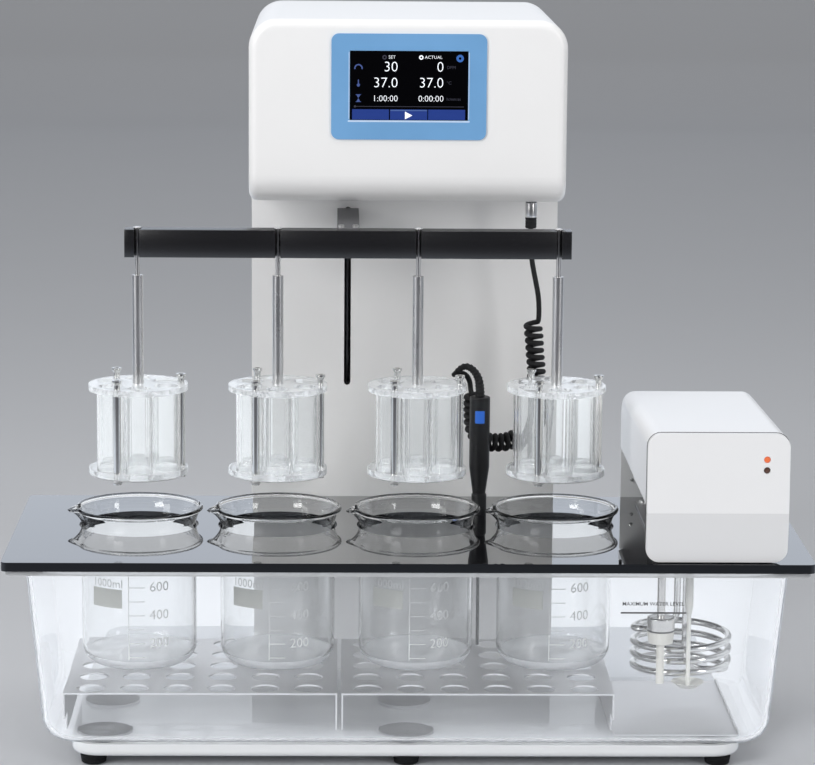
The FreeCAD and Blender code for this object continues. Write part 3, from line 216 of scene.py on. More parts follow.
def rubber(name, colour):
    g = Graph(name)
    cloud = g.noise(60, 3)
    dusty = tuple(c + 0.006 for c in colour)
    return g.surface(Base_Color=g.mix(cloud, colour, dusty), Roughness=0.62 + 0.2 * cloud,
                     Normal=g.bump(g.noise(1500, 2), 0.3, 0.0001))


def brushedMetal(name, colour, roughness, stretch, depth=0.2):
    # fine parallel scratches along the axis that stretch leaves short
    g = Graph(name)
    scratch = g.noise(420, 3, stretch)
    cloud = g.noise(22, 2)
    dark = shaded(colour, 1 - depth)
    return g.surface(Base_Color=g.mix(scratch, dark, colour), Metallic=1.0,
                     Roughness=roughness + 0.14 * scratch + 0.08 * cloud,
                     Normal=g.bump(scratch, 0.12, 0.0001))


def clear(name, tint, roughness, ior, haze=0.0, milky=()):
    # clear solid that lets the lamps through to what it holds, milkier in some bands of heights
    g = Graph(name)
    smear = g.noise(14, 3)
    body = principled(g, Base_Color=tint, Roughness=roughness + 0.03 * smear, IOR=ior,
                      Transmission_Weight=1.0)
    if haze or milky:
        milk = g.add("BsdfDiffuse", None, Color=(0.9, 0.92, 0.94))[0]
        share = haze * (0.5 + smear)
        z = g.whereabouts()[2]
        for low, high, extra in milky:
            share = share + extra * ((z > low) * (z < high))
        body = g.add("MixShader", None, share, body, milk)[0]
    through = g.add("BsdfTransparent", None, Color=tuple(0.9 * c + 0.08 for c in tint))[0]
    shadow, = g.rays("Shadow")
    return g.finish(g.add("MixShader", None, shadow, body, through)[0])


def polishedMetal(name, colour, roughness):
    g = Graph(name)
    cloud = g.noise(30, 3)
    dull = shaded(colour, 0.88)
    return g.surface(Base_Color=g.mix(cloud, dull, colour), Metallic=1.0,
                     Roughness=roughness + 0.08 * cloud)


def steelAbove(name, height, seam, cream, steel):
    # steel over a cream moulding, with a dark joint round the two
    g = Graph(name)
    z = g.whereabouts()[2]
    upper = z > height
    joint = (z > height - seam / 2) * (height + seam / 2 > z)
    cloud = g.noise(40, 3)
    shade = g.mix(upper, g.mix(0.5 * cloud, cream, shaded(cream, 0.9)), steel)
    return g.surface(Base_Color=g.mix(joint, shade, (0.02, 0.02, 0.02)), Metallic=upper - joint,
                     Roughness=0.38 - 0.18 * upper + 0.08 * cloud)


def rubberPads(name, dark, pale, edge):
    # dark pads; the ones behind edge get the pale colour, a painted light for the tank's haze over them
    g = Graph(name)
    cloud = g.noise(60, 3)
    hazeLitTone = g.mix(g.whereabouts()[1] > edge, dark, pale)
    return g.surface(Base_Color=g.mix(0.3 * cloud, hazeLitTone, (0.2, 0.2, 0.2)),
                     Roughness=0.6 + 0.2 * cloud)


def anodised(name, colour, roughness, ior):
    g = Graph(name)
    grain = g.noise(700, 2)
    return g.surface(Base_Color=g.mix(grain, colour, shaded(colour, 1.5)), IOR=ior,
                     Roughness=roughness + 0.1 * grain, Normal=g.bump(grain, 0.08, 0.0001))


def glossBlack(name, colour, roughness, tint, coat, ior):
    # dark glass: a dark body that mirrors at a low angle, with a clear coat on what faces up
    g = Graph(name)
    smear = g.noise(18, 4)
    level = g.add("SeparateXYZ", None, g.add("NewGeometry")[3])[2]
    return g.surface(Base_Color=g.mix(smear, colour, shaded(colour, 1.4)), IOR=ior,
                     Roughness=roughness + 0.03 * smear, Specular_Tint=tint,
                     Coat_Weight=(level * coat).limited(), Coat_Roughness=0.01)


def lit(name, colour, strength):
    # ink or light of a display
    g = Graph(name)
    cell = g.noise(2500, 1)
    return g.surface(Base_Color=g.mix(0.3 * cell, colour, (0, 0, 0)), Roughness=0.35,
                     Emission_Color=colour, Emission_Strength=strength)


def ink(name, colour):
    g = Graph(name)
    speck = g.noise(1800, 2)
    return g.surface(Base_Color=g.mix(0.25 * speck, colour, (0.6, 0.6, 0.6)), Roughness=0.55)


# places where a finish changes, in millimetres: heights, and for the pads how far back
change = {"panelCrease": 243.5, "pumpJoint": 118, "sensorJoint": 172, "beakerBase": 81, "tankFloor": 4.5,
          "tankFlange": 183.5, "hazeLitPads": -100}

recipes = {
    "basePaint": (paint, (0.80, 0.81, 0.81), 0.34, 1100, 0.10, None, (1.0, 0.03)),
    "bodyPaint": (paint, (0.875, 0.87, 0.865), 0.30, 1300, 0.08),
    "heaterPaint": (paint, (0.88, 0.88, 0.885), 0.26, 1300, 0.06),
    # the heater's panel, with painted shade below its crease
    "panelPaint": (paint, (0.87, 0.87, 0.875), 0.26, 1300, 0.06, change["panelCrease"] * mm),
    "bezelBlue": (mouldedPlastic, (0.145, 0.335, 0.59), 0.36),
    # painted highlight of the bezel's chamfer
    "bezelLip": (mouldedPlastic, (0.50, 0.63, 0.82), 0.45),
    "labelBlue": (mouldedPlastic, (0.02, 0.14, 0.62), 0.4),
    "blackPlastic": (mouldedPlastic, (0.008, 0.008, 0.009), 0.38),
    "probePlastic": (mouldedPlastic, (0.005, 0.005, 0.006), 0.34),
    "pumpPlastic": (mouldedPlastic, (0.70, 0.69, 0.65), 0.42),
    "pumpBody": (steelAbove, change["pumpJoint"] * mm, 1.6 * mm, (0.66, 0.65, 0.60), (0.66, 0.65, 0.63)),
    "sensorBody": (steelAbove, change["sensorJoint"] * mm, 1.2 * mm, (0.72, 0.72, 0.68), (0.66, 0.65, 0.63)),
    "motorPaint": (mouldedPlastic, (0.03, 0.03, 0.032), 0.5),
    "footRubber": (rubber, (0.004, 0.004, 0.005)),
    # painted light: the rear pads paler, for the tank's haze over them
    "padRubber": (rubberPads, (0.02, 0.02, 0.022), (0.42, 0.43, 0.46), change["hazeLitPads"] * mm),
    "leadRubber": (rubber, (0.005, 0.005, 0.006)),
    "anodised": (anodised, (0.004, 0.004, 0.005), 0.2, 1.8),
    "deckBlack": (glossBlack, (0.003, 0.003, 0.004), 0.0, (0.93, 0.965, 1.0), 1.0, 1.45),
    "screenBlack": (glossBlack, (0.001, 0.001, 0.0015), 0.1, (1, 1, 1), 0.0, 1.2),
    "uprightSteel": (brushedMetal, (0.76, 0.755, 0.75), 0.18, (1, 1, 0.05), 0.08),
    "headSteel": (brushedMetal, (0.95, 0.95, 0.95), 0.55, (1, 1, 1), 0.05),
    "boltSteel": (polishedMetal, (0.80, 0.80, 0.78), 0.12),
    "bandSteel": (polishedMetal, (0.20, 0.20, 0.205), 0.25),
    "shelfSteel": (brushedMetal, (0.78, 0.78, 0.79), 0.34, (0.05, 1, 1), 0.12),
    "sheetSteel": (brushedMetal, (0.60, 0.60, 0.61), 0.30, (0.05, 1, 1)),
    "coilSteel": (polishedMetal, (0.78, 0.78, 0.77), 0.10),
    "aluminium": (brushedMetal, (0.62, 0.62, 0.64), 0.28, (0.08, 1, 1)),
    "armGrey": (anodised, (0.10, 0.10, 0.105), 0.34, 1.3),
    # painted shadow: the dark finish of the gap round the heater's panel
    "seam": (rubber, (0.05, 0.05, 0.052)),
    "beakerGlass": (clear, (0.98, 0.985, 0.985), 0.0, 1.45, 0.0, ((0.0, change["beakerBase"] * mm, 0.3),)),
    "tubeGlass": (clear, (0.985, 0.99, 0.99), 0.0, 1.4, 0.06),
    "clearAcrylic": (clear, (0.97, 0.98, 0.985), 0.015, 1.44, 0.24),
    "tankPlastic": (clear, (0.985, 0.99, 1.0), 0.0, 1.22, 0.06,
                    ((0.0, tankLow + change["tankFloor"] * mm, 0.12), (change["tankFlange"] * mm, 1.0, 0.4))),
    "screenWhite": (lit, (0.85, 0.88, 0.92), 0.5),
    "screenGear": (lit, (0.03, 0.11, 0.36), 0.5),
    "screenBlue": (lit, (0.045, 0.075, 0.22), 0.5),
    "screenGrey": (lit, (0.034, 0.034, 0.05), 0.4),
    "screenBar": (lit, (0.011, 0.036, 0.21), 0.35),
    "screenEdge": (lit, (0.06, 0.11, 0.29), 0.4),
    "lampOrange": (lit, (0.75, 0.16, 0.05), 0.35),
    "lampOff": (mouldedPlastic, (0.10, 0.045, 0.03), 0.25),
    "scaleInk": (ink, (0.68, 0.69, 0.68)),
    "patchInk": (ink, (0.46, 0.47, 0.43)),
    "darkInk": (ink, (0.02, 0.02, 0.02)),
}
finishes = {name: make(name, *values) for name, (make, *values) in recipes.items()}
print("finishes made:", len(finishes))


# what the frame's own pieces are made of

nodeFinish = {
    "base_housing": "basePaint", "rubber_feet": "footRubber", "tank_pads": "padRubber",
    "column_shell": "bodyPaint", "rear_cover": "bodyPaint", "head_shell": "bodyPaint",
    "screen_bezel": "bezelBlue", "touch_screen": "screenBlack", "mains_inlet": "blackPlastic",
    "power_switch": "blackPlastic", "water_bath_tank": "tankPlastic", "bath_deck": "deckBlack",
    "beaker_shelves": "shelfSteel", "beakers": "beakerGlass", "heater_front_panel": "panelPaint",
    "heater_hood": "heaterPaint", "heater_chassis": "sheetSteel", "heater_coil": "coilSteel",
    "pump_housing": "pumpBody", "pump_impeller": "pumpPlastic", "pump_motor": "motorPaint",
    "level_sensor": "sensorBody", "indicator_lights": "lampOrange", "hanger_beam": "anodised",
    "drive_arm": "armGrey", "arm_screws": "uprightSteel", "carriage": "aluminium",
    "guide_rods": "uprightSteel", "lead_screw": "uprightSteel", "drive_frame": "aluminium",
    "drive_motor": "motorPaint", "probe_handle": "probePlastic", "probe_reliefs": "leadRubber",
    "probe_cable": "leadRubber", "probe_cable_coil": "leadRubber", "probe_plug": "uprightSteel",
}
basketFinish = {"hanger": "uprightSteel", "plates": "clearAcrylic", "tubes": "tubeGlass",
                "bolts": "boltSteel", "mesh": "uprightSteel", "discs": "clearAcrylic"}
for k in stations:
    nodeFinish.update({f"basket_{k}_{part}": name for part, name in basketFinish.items()})
for node, name in nodeFinish.items():
    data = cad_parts[node].data
    data.materials.clear()
    data.materials.append(finishes[name])


# making meshes

marking = {"capitalShare": 0.72, "inkDepth": 0.00003, "plateDepth": 0.00006}


def piece(name, mesh, finish, body="stand", *, slot):
    mesh.materials.clear()
    mesh.materials.append(finishes[finish])
    obj = bpy.data.objects.new(name, mesh)
    bpy.context.collection.objects.link(obj)
    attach(obj, body)
    return obj


def meshFrom(name, points, faces, smooth=True):
    # a mesh with its doubles merged and its normals outwards
    mesh = bpy.data.meshes.new(name)
    mesh.from_pydata([tuple(p) for p in points], [], faces)
    work = bmesh.new()
    work.from_mesh(mesh)
    bmesh.ops.remove_doubles(work, verts=work.verts, dist=1e-6)
    bmesh.ops.recalc_face_normals(work, faces=work.faces)
    work.to_mesh(mesh)
    work.free()
    for face in mesh.polygons:
        face.use_smooth = smooth
    return mesh


def joined(name, meshes):
    # several meshes as one
    work = bmesh.new()
    for mesh in meshes:
        work.from_mesh(mesh)
    mesh = bpy.data.meshes.new(name)
    work.to_mesh(mesh)
    work.free()
    return mesh


def moved(mesh, matrix):
    mesh.transform(matrix)
    return mesh


def baked(obj):
    # what an object's text, curve or nodes come to, as a plain mesh
    bpy.context.collection.objects.link(obj)
    mesh = bpy.data.meshes.new_from_object(obj.evaluated_get(bpy.context.evaluated_depsgraph_get()))
    bpy.data.objects.remove(obj)
    return mesh


def words(text, height, align="CENTER", weight=0.0):
    # lettering in the XY plane, height is that of a capital, weight is what each stroke gains on a side
    data = bpy.data.curves.new("words", "FONT")
    data.body = text
    data.size = height / marking["capitalShare"]
    data.offset = weight
    data.align_x = align
    data.align_y = "CENTER"
    data.extrude = marking["inkDepth"]
    data.resolution_u = 3
    return baked(bpy.data.objects.new("words", data))


def slab(outline, low, high):
    # a flat body with an outline in the XY plane, between two heights
    count = len(outline)
    points = [(x, y, z) for z in (low, high) for x, y in outline]
    faces = [tuple(range(count))[::-1], tuple(range(count, 2 * count))]
    faces += [(i, (i + 1) % count, (i + 1) % count + count, i + count) for i in range(count)]
    return meshFrom("slab", points, faces, smooth=False)


def roundedOutline(width, height, corner, steps):
    # a rectangle round the origin, with arcs for its corners
    outline = []
    for turn, (sx, sy) in enumerate(((1, 1), (-1, 1), (-1, -1), (1, -1))):
        for i in range(steps + 1 if corner else 1):
            angle = math.radians(90) * (turn + i / steps)
            outline.append(((width / 2 - corner) * sx + corner * math.cos(angle),
                            (height / 2 - corner) * sy + corner * math.sin(angle)))
    return outline


def plate(width, height, depth=marking["plateDepth"], corner=0.0):
    # a flat plate in the XY plane with rounded corners
    return slab(roundedOutline(width, height, corner, 5), -depth / 2, depth / 2)


def facing(x, y, z):
    # stands a mesh of the XY plane upright at a point, facing the user
    return Matrix.Translation((x, y, z)) @ Matrix.Rotation(math.radians(90), 4, "X")


def wall(rings, sides):
    # the faces between rings of points
    return [(ring * sides + i, ring * sides + (i + 1) % sides,
             (ring + 1) * sides + (i + 1) % sides, (ring + 1) * sides + i)
            for ring in range(rings - 1) for i in range(sides)]


def lathe(name, profile, sides=48, centre=(0, 0)):
    # (radius, height) points turned about a vertical axis
    x, y, points = centre[0], centre[1], []
    for radius, height in profile:
        for i in range(sides):
            angle = 2 * math.pi * i / sides
            points.append((x + radius * math.cos(angle), y + radius * math.sin(angle), height))
    return meshFrom(name, points, wall(len(profile), sides))


def band(name, inside, outside, first, last, centre, sides=48):
    # a ring of rectangular section between two heights
    corners = [(inside, first), (outside, first), (outside, last), (inside, last)]
    return lathe(name, corners + corners[:1], sides, centre)


def scaled(profile, across=mm, up=mm, base=0.0):
    # points in millimetres, or in shares of a width and a height, as metres
    return [(r * across, base + z * up) for r, z in profile]


def tube(name, path, radii, sides=10):
    # a round bar that follows a path, with closed ends
    path = [Vector(p) for p in path]
    count = len(path)
    widths = radii if isinstance(radii, list) else [radii] * count
    ahead = (path[1] - path[0]).normalized()
    side = ahead.orthogonal().normalized()
    points = []
    for i, point in enumerate(path):
        onward = (path[min(i + 1, count - 1)] - path[max(i - 1, 0)]).normalized()
        side = (ahead.rotation_difference(onward) @ side).normalized()
        ahead = onward
        other = ahead.cross(side)
        for k in range(sides):
            angle = 2 * math.pi * k / sides
            points.append(point + (side * math.cos(angle) + other * math.sin(angle)) * widths[i])
    ends = [tuple(range(sides))[::-1], tuple(range((count - 1) * sides, count * sides))]
    return meshFrom(name, points, wall(count, sides) + ends)


def routeLine(points, resolution=12):
    # the smooth line of a route, as the points of its NURBS spline
    data = bpy.data.curves.new("route", "CURVE")
    data.dimensions = "3D"
    spline = data.splines.new("NURBS")
    spline.points.add(len(points) - 1)
    for target, point in zip(spline.points, points):
        target.co = (*point, 1)
    spline.order_u = 3
    spline.use_endpoint_u = True
    spline.resolution_u = resolution
    return [v.co.copy() for v in baked(bpy.data.objects.new("route", data)).vertices]


# the probe's lead

leadRoute = {
    "upper": [(117, 18, 460), (117, 18, 444), (118.6, 18, 428), (122, 18, 411), (125.6, 17.6, 394),
              (126.3, 17, 371.4)],
    "curly": [(120.2, 17, 371), (122.2, 17, 348), (124, 16.4, 325), (125.8, 14.5, 304), (124.5, 9.5, 286),
              (117.5, 3, 272.5), (107, -3.5, 264.5), (95, -8, 261), (82.5, -11, 260.6), (71.5, -12.6, 263.5),
              (64.6, -13.6, 273), (63.2, -14, 288), (63.5, -14, 309.6)],
    "lower": [(61, -17, 309.8), (60.6, -18.4, 315.5), (59.8, -20.4, 321.5), (56.6, -22.6, 327.5),
              (51, -24, 329.8), (46, -26.4, 328.8), (44, -31.6, 328.4), (47.4, -35, 332.4)],
    "relief": [(69, -35, 309.4), (69, -35, 320.5), (65.6, -35, 331), (58.4, -35, 337.6), (51.6, -35, 337),
               (47.4, -35, 332.4)],
    "diameter": 4.9, "coilDiameter": 18.5, "pitch": 6.3, "slackening": 0.1, "pointsPerTurn": 12,
    "unevenness": ((0.02, 0.37), (0.015, 0.093)),  # share of the radius, and how fast it comes and goes
}


def inMetres(points):
    return [Vector(p) * mm for p in points]


def lengthOf(path):
    return sum((b - a).length for a, b in zip(path, path[1:]))


def helixAlong(path, radius, pitch, slackening, perTurn, start):
    # control points of a helix round a line, beginning on the side of start, wider set in its first half
    total = lengthOf(path)
    turns = round(total / pitch)
    steps = turns * perTurn
    ahead = (path[1] - path[0]).normalized()
    side = start - path[0]
    side = (side - ahead * side.dot(ahead)).normalized()
    points, walked, i = [], 0.0, 0
    for step in range(steps + 1):
        share = step / steps
        target = total * share * (1 + slackening * (1 - share))
        while i < len(path) - 2 and walked + (path[i + 1] - path[i]).length < target:
            walked += (path[i + 1] - path[i]).length
            i += 1
        run = path[i + 1] - path[i]
        onward = run.normalized()
        side = ahead.rotation_difference(onward) @ side
        side = (side - onward * side.dot(onward)).normalized()
        ahead = onward
        at = path[i] + run * min(1.0, (target - walked) / run.length)
        angle = 2 * math.pi * step / perTurn
        uneven = radius * sum((size * math.sin(rate * step) for size, rate in leadRoute["unevenness"]), 1)
        points.append(at + (side * math.cos(angle) - ahead.cross(side) * math.sin(angle)) * uneven)
    return points


def makeLead():
    upper, curly, lower = (inMetres(leadRoute[key]) for key in ("upper", "curly", "lower"))
    diameter = leadRoute["diameter"] * mm
    radius = (leadRoute["coilDiameter"] - leadRoute["diameter"]) / 2 * mm
    turns = helixAlong(routeLine(curly), radius, leadRoute["pitch"] * mm, leadRoute["slackening"],
                       leadRoute["pointsPerTurn"], upper[-1])
    line = routeLine(upper[:-1] + turns[1:-1] + lower[1:], resolution=3)
    lead = piece("probeLead", tube("probeLead", line, diameter / 2), "leadRubber", slot="lead_black")
    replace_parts(lead, "probe_cable", "probe_cable_coil")
    print("lead length", round(lengthOf(line), 3))


makeLead()


# bend reliefs: ribbed sleeves at the handle and under the plug

relief = {"thick": 9.2, "thin": 5.8, "ribPitch": 3.2, "ribDepth": 0.55, "squareness": 3, "sleeve": 10.6,
          "sleeveLength": 10, "sleeveRings": 4, "ring": ((0.96, 0), (1, 0.12), (1, 0.7), (0.93, 0.82)),
          "sleeveEnd": 0.9}


def makeReliefs():
    line = routeLine(inMetres(leadRoute["relief"]), resolution=16)
    total, walked, widths = lengthOf(line), 0.0, []
    for i, point in enumerate(line):
        walked += (point - line[i - 1]).length if i else 0
        width = relief["thick"] + (relief["thin"] - relief["thick"]) * walked / total
        rib = math.sin(2 * math.pi * walked / (relief["ribPitch"] * mm))
        rib = max(-1, min(1, relief["squareness"] * rib))
        widths.append((width / 2 + relief["ribDepth"] * (rib - 1) / 2) * mm)
    low, high, centre = boxOf("probe_plug")
    length, step = relief["sleeveLength"], relief["sleeveLength"] / relief["sleeveRings"]
    profile = [(0, 0)]
    for i in range(relief["sleeveRings"]):
        profile += [(share * relief["sleeve"] / 2, -step * (i + down)) for share, down in relief["ring"]]
    profile += [(relief["sleeveEnd"] * relief["sleeve"] / 2, -length), (0, -length)]
    sleeve = lathe("sleeve", scaled(profile, base=low[2]), sides=32, centre=centre)
    both = joined("bendReliefs", [tube("relief", line, widths, sides=24), sleeve])
    sleeves = piece("bendReliefs", both, "leadRubber", slot="lead_black")
    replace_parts(sleeves, "probe_reliefs")


makeReliefs()
print("lead done")


# beakers with a poured rim and a spout

beaker = {
    "radius": 52.5, "wall": 2.2, "floor": 3.0, "baseRadius": 17, "neck": 14, "rim": 56.8, "bead": 1.9,
    "hollow": 0.25, "hollowReach": 0.4, "middle": 0.45, "flareDrop": 2.4, "insideRise": 0.3, "sides": 144,
    "spoutReach": 7.5, "spoutAngle": 188, "spoutWidth": 6.5, "spoutDip": 2.4, "spoutRoot": 4,
    "pinch": 0.16, "pinchWidth": 7, "plainWithin": 40,
}


def arc(x, z, radius, angles):
    # points round (x, z), at angles in degrees above straight out
    return [(x + radius * math.cos(math.radians(a)), z + radius * math.sin(math.radians(a))) for a in angles]


def beakerProfile(low, high):
    # outside from the middle of the floor to the rim, then the inside back down
    r, thick, base, neck, rim = (beaker[key] for key in ("radius", "wall", "baseRadius", "neck", "rim"))
    height = (high - low) / mm
    outer = [(0, 0), (r * beaker["hollowReach"], beaker["hollow"]), (r - base, 0)]
    outer += arc(r - base, base, base, range(-80, 1, 10))
    outer += [(r, height * beaker["middle"]), (r, height - neck)]
    flare = [(r + (rim - r) * (1 - math.cos(math.radians(a))),
              height - neck * (1 - a / 90) - beaker["flareDrop"]) for a in range(25, 91, 13)]
    bead = arc(rim, height - beaker["bead"], beaker["bead"], range(-60, 181, 30))
    inner = [(x - thick, z + beaker["insideRise"]) for x, z in reversed(flare[:-1])]
    inner += [(r - thick, height - neck), (r - thick, height * beaker["middle"])]
    inner += arc(r - base, beaker["floor"] + base - thick, base - thick, range(0, -91, -10))
    inner += [(0, beaker["floor"])]
    return scaled(outer + flare + bead + inner, base=low)


def makeBeakers():
    low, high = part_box("beakers")
    profile = beakerProfile(low[2], high[2])
    neckLow = high[2] - (beaker["neck"] + beaker["spoutRoot"]) * mm
    width, start = beaker["spoutWidth"], math.radians(beaker["spoutAngle"])
    shapes = []
    for x in stationX:
        mesh = lathe("beaker", profile, beaker["sides"], (x, stationY))
        for vertex in mesh.vertices:
            rise = max(0.0, (vertex.co.z - neckLow) / (high[2] - neckLow))
            out = Vector((vertex.co.x - x, vertex.co.y - stationY))
            if rise == 0 or out.length < beaker["plainWithin"] * mm:
                continue
            off = math.degrees(abs((math.atan2(out.y, out.x) - start + math.pi) % (2 * math.pi) - math.pi))
            pull = math.exp(-(off / width) ** 2)
            pinch = beaker["pinch"] * math.exp(-((off - 2 * width) / beaker["pinchWidth"]) ** 2)
            reach = out.normalized() * (pull - pinch) * rise ** 2 * beaker["spoutReach"] * mm
            vertex.co.x += reach.x
            vertex.co.y += reach.y
            vertex.co.z -= pull * rise ** 2 * beaker["spoutDip"] * mm
        shapes.append(mesh)
    glass = piece("beakerGlass", joined("beakerGlass", shapes), "beakerGlass", slot="clear_glass")
    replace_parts(glass, "beakers")


makeBeakers()

scale = {"lineX": -6.7, "tick": 14.5, "ticks": 7, "overrun": 5, "stroke": 0.7, "firstZ": 98.5, "step": 26,
         "numbers": ("200", "400", "600"), "numberX": 21.5, "numberHeight": 9.0, "patch": (31.6, 17.4),
         "patchAt": (-28.7, 139.5), "volume": "1000ml", "volumeAt": (-28, 153), "volumeHeight": 7.8,
         "clearance": 0.06, "slice": 2}


def placed(mesh, u, v):
    # moves a flat marking in its own plane, by millimetres
    return moved(mesh, Matrix.Translation((u * mm, v * mm, 0)))


def wrapped(mesh, x, y, radius, clearance=0.0, turn=0.0):
    # bends a flat marking, drawn facing the user, round an upright cylinder at x and y
    for vertex in mesh.vertices:
        angle = vertex.co.x / radius - math.radians(turn)
        depth = radius + clearance + vertex.co.z
        vertex.co = Vector((x + depth * math.sin(angle), y - depth * math.cos(angle), vertex.co.y))
    return mesh


def cutFine(mesh, width):
    # slices a flat marking upright, so that it bends smoothly
    work = bmesh.new()
    work.from_mesh(mesh)
    reach = max(abs(v.co.x) for v in work.verts)
    cuts = int(reach / width) + 1
    for i in range(-cuts, cuts + 1):
        bmesh.ops.bisect_plane(work, geom=work.verts[:] + work.edges[:] + work.faces[:], dist=1e-7,
                               plane_co=(i * width, 0, 0), plane_no=(1, 0, 0))
    work.to_mesh(mesh)
    work.free()
    return mesh


def makeScales():
    marks, patches = [], []
    radius = (beaker["radius"] + scale["clearance"]) * mm
    step, stroke, tick = scale["step"] / 2, scale["stroke"] * mm, scale["tick"]
    low, rise = scale["firstZ"] - step, (scale["ticks"] - 1) * step
    for x in stationX:
        flat = [placed(plate(stroke, (rise + scale["overrun"]) * mm), scale["lineX"], low + rise / 2)]
        flat += [placed(plate(tick * mm, stroke), scale["lineX"] + tick / 2, low + i * step)
                 for i in range(scale["ticks"])]
        flat += [placed(words(text, scale["numberHeight"] * mm), scale["numberX"],
                        scale["firstZ"] + 2 * i * step) for i, text in enumerate(scale["numbers"])]
        flat.append(placed(words(scale["volume"], scale["volumeHeight"] * mm), *scale["volumeAt"]))
        patch = placed(plate(*(side * mm for side in scale["patch"])), *scale["patchAt"])
        marks.append(wrapped(cutFine(joined("marks", flat), scale["slice"] * mm), x, stationY, radius))
        patches.append(wrapped(cutFine(patch, scale["slice"] * mm), x, stationY, radius))
    piece("beakerPatches", joined("beakerPatches", patches), "patchInk", slot="clear_glass")
    piece("beakerScales", joined("beakerScales", marks), "scaleInk", slot="clear_glass")


makeScales()
print("beakers done")


# wire cloth under the baskets

cloth = {"wire": 0.62, "pitch": 2.6, "radius": 43.6, "weave": 0.22, "sides": 5, "turn": 45,
         "rimInside": 42.6, "rimOutside": 43.9, "rimSides": 64}


def nodesTree(name, inputs):
    tree = bpy.data.node_groups.new(name, "GeometryNodeTree")
    tree.interface.new_socket("Geometry", in_out="OUTPUT", socket_type="NodeSocketGeometry")
    for label, kind in inputs:
        tree.interface.new_socket(label, in_out="INPUT", socket_type=kind)
    return tree, tree.nodes.new("NodeGroupInput"), tree.nodes.new("NodeGroupOutput")


def geo(tree, kind, settings=None, **links):
    # a node of a Geometry Nodes tree, with its inputs named as inputOf says
    node = tree.nodes.new(kind)
    for key, value in (settings or {}).items():
        setattr(node, key, value)
    for key, value in links.items():
        if isinstance(value, bpy.types.NodeSocket):
            tree.links.new(value, inputOf(node, key))
        else:
            inputOf(node, key).default_value = value
    return node


def geoMath(tree, operation, *values):
    inputs = {f"_{i}": value for i, value in enumerate(values)}
    return geo(tree, "ShaderNodeMath", {"operation": operation}, **inputs).outputs[0]


def runTree(name, tree, values):
    # the tree's result as a plain mesh
    obj = bpy.data.objects.new(name, bpy.data.meshes.new(name))
    modifier = obj.modifiers.new("shape", "NODES")
    modifier.node_group = tree
    for item in tree.interface.items_tree:
        if item.in_out == "INPUT" and item.name in values:
            modifier[item.identifier] = values[item.name]
    return baked(obj)


def clothTree():
    tree, given, out = nodesTree("wireCloth", [("Radius", "NodeSocketFloat"), ("Pitch", "NodeSocketFloat"),
                                               ("Wire", "NodeSocketFloat"), ("Count", "NodeSocketInt"),
                                               ("Sides", "NodeSocketInt"), ("Weave", "NodeSocketFloat"),
                                               ("Finish", "NodeSocketMaterial")])
    socket = {s.name: s for s in given.outputs}
    first = geoMath(tree, "MULTIPLY", geoMath(tree, "SUBTRACT", 1.0, socket["Count"]),
                    geoMath(tree, "MULTIPLY", socket["Pitch"], 0.5))
    start = geo(tree, "ShaderNodeCombineXYZ", X=first).outputs[0]
    step = geo(tree, "ShaderNodeCombineXYZ", X=socket["Pitch"]).outputs[0]
    line = geo(tree, "GeometryNodeMeshLine", Count=socket["Count"], Start_Location=start, Offset=step)
    point = geo(tree, "GeometryNodeInputPosition").outputs[0]
    where = geo(tree, "ShaderNodeSeparateXYZ", _0=point).outputs[0]
    squares = [geoMath(tree, "MULTIPLY", value, value) for value in (socket["Radius"], where)]
    half = geoMath(tree, "SQRT", geoMath(tree, "SUBTRACT", *squares))
    wire = geo(tree, "GeometryNodeMeshCylinder", Vertices=socket["Sides"], Depth=2.0,
               Radius=geoMath(tree, "MULTIPLY", socket["Wire"], 0.5))
    stretch = geo(tree, "ShaderNodeCombineXYZ", X=1.0, Y=1.0, Z=half).outputs[0]
    laid = geo(tree, "GeometryNodeInstanceOnPoints", Points=line.outputs[0], Instance=wire.outputs[0],
               Rotation=(math.radians(90), 0, 0), Scale=stretch)
    lift = geo(tree, "ShaderNodeCombineXYZ", Z=socket["Weave"]).outputs[0]
    drop = geo(tree, "ShaderNodeCombineXYZ", Z=geoMath(tree, "MULTIPLY", socket["Weave"], -1.0)).outputs[0]
    along = geo(tree, "GeometryNodeTransform", Geometry=laid.outputs[0], Translation=lift)
    crossways = geo(tree, "GeometryNodeTransform", Geometry=laid.outputs[0], Translation=drop,
                    Rotation=(0, 0, math.radians(90)))
    both = geo(tree, "GeometryNodeJoinGeometry")
    tree.links.new(along.outputs[0], both.inputs[0])
    tree.links.new(crossways.outputs[0], both.inputs[0])
    real = geo(tree, "GeometryNodeRealizeInstances", Geometry=both.outputs[0])
    dressed = geo(tree, "GeometryNodeSetMaterial", Geometry=real.outputs[0], Material=socket["Finish"])
    tree.links.new(dressed.outputs[0], out.inputs[0])
    return tree


def makeCloths():
    tree = clothTree()
    count = 2 * int(cloth["radius"] / cloth["pitch"]) + 1
    for k in stations:
        low, high, centre = boxOf(f"basket_{k}_mesh")
        mesh = runTree("cloth", tree, {"Radius": cloth["radius"] * mm, "Pitch": cloth["pitch"] * mm,
                                       "Wire": cloth["wire"] / 2 * mm, "Weave": cloth["weave"] / 2 * mm,
                                       "Count": count, "Sides": cloth["sides"],
                                       "Finish": finishes["uprightSteel"]})
        mesh.transform(Matrix.Translation(centre) @ Matrix.Rotation(math.radians(cloth["turn"]), 4, "Z"))
        inside, outside = cloth["rimInside"] * mm, cloth["rimOutside"] * mm
        rim = band("rim", inside, outside, high[2], low[2], centre, cloth["rimSides"])
        both = joined(f"basket{k}Cloth", [mesh, rim])
        wires = piece(f"basket{k}Cloth", both, "uprightSteel", f"basket_{k}", slot="mesh_steel")
        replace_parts(wires, f"basket_{k}_mesh")


makeCloths()
print("wire cloths done")


# screen

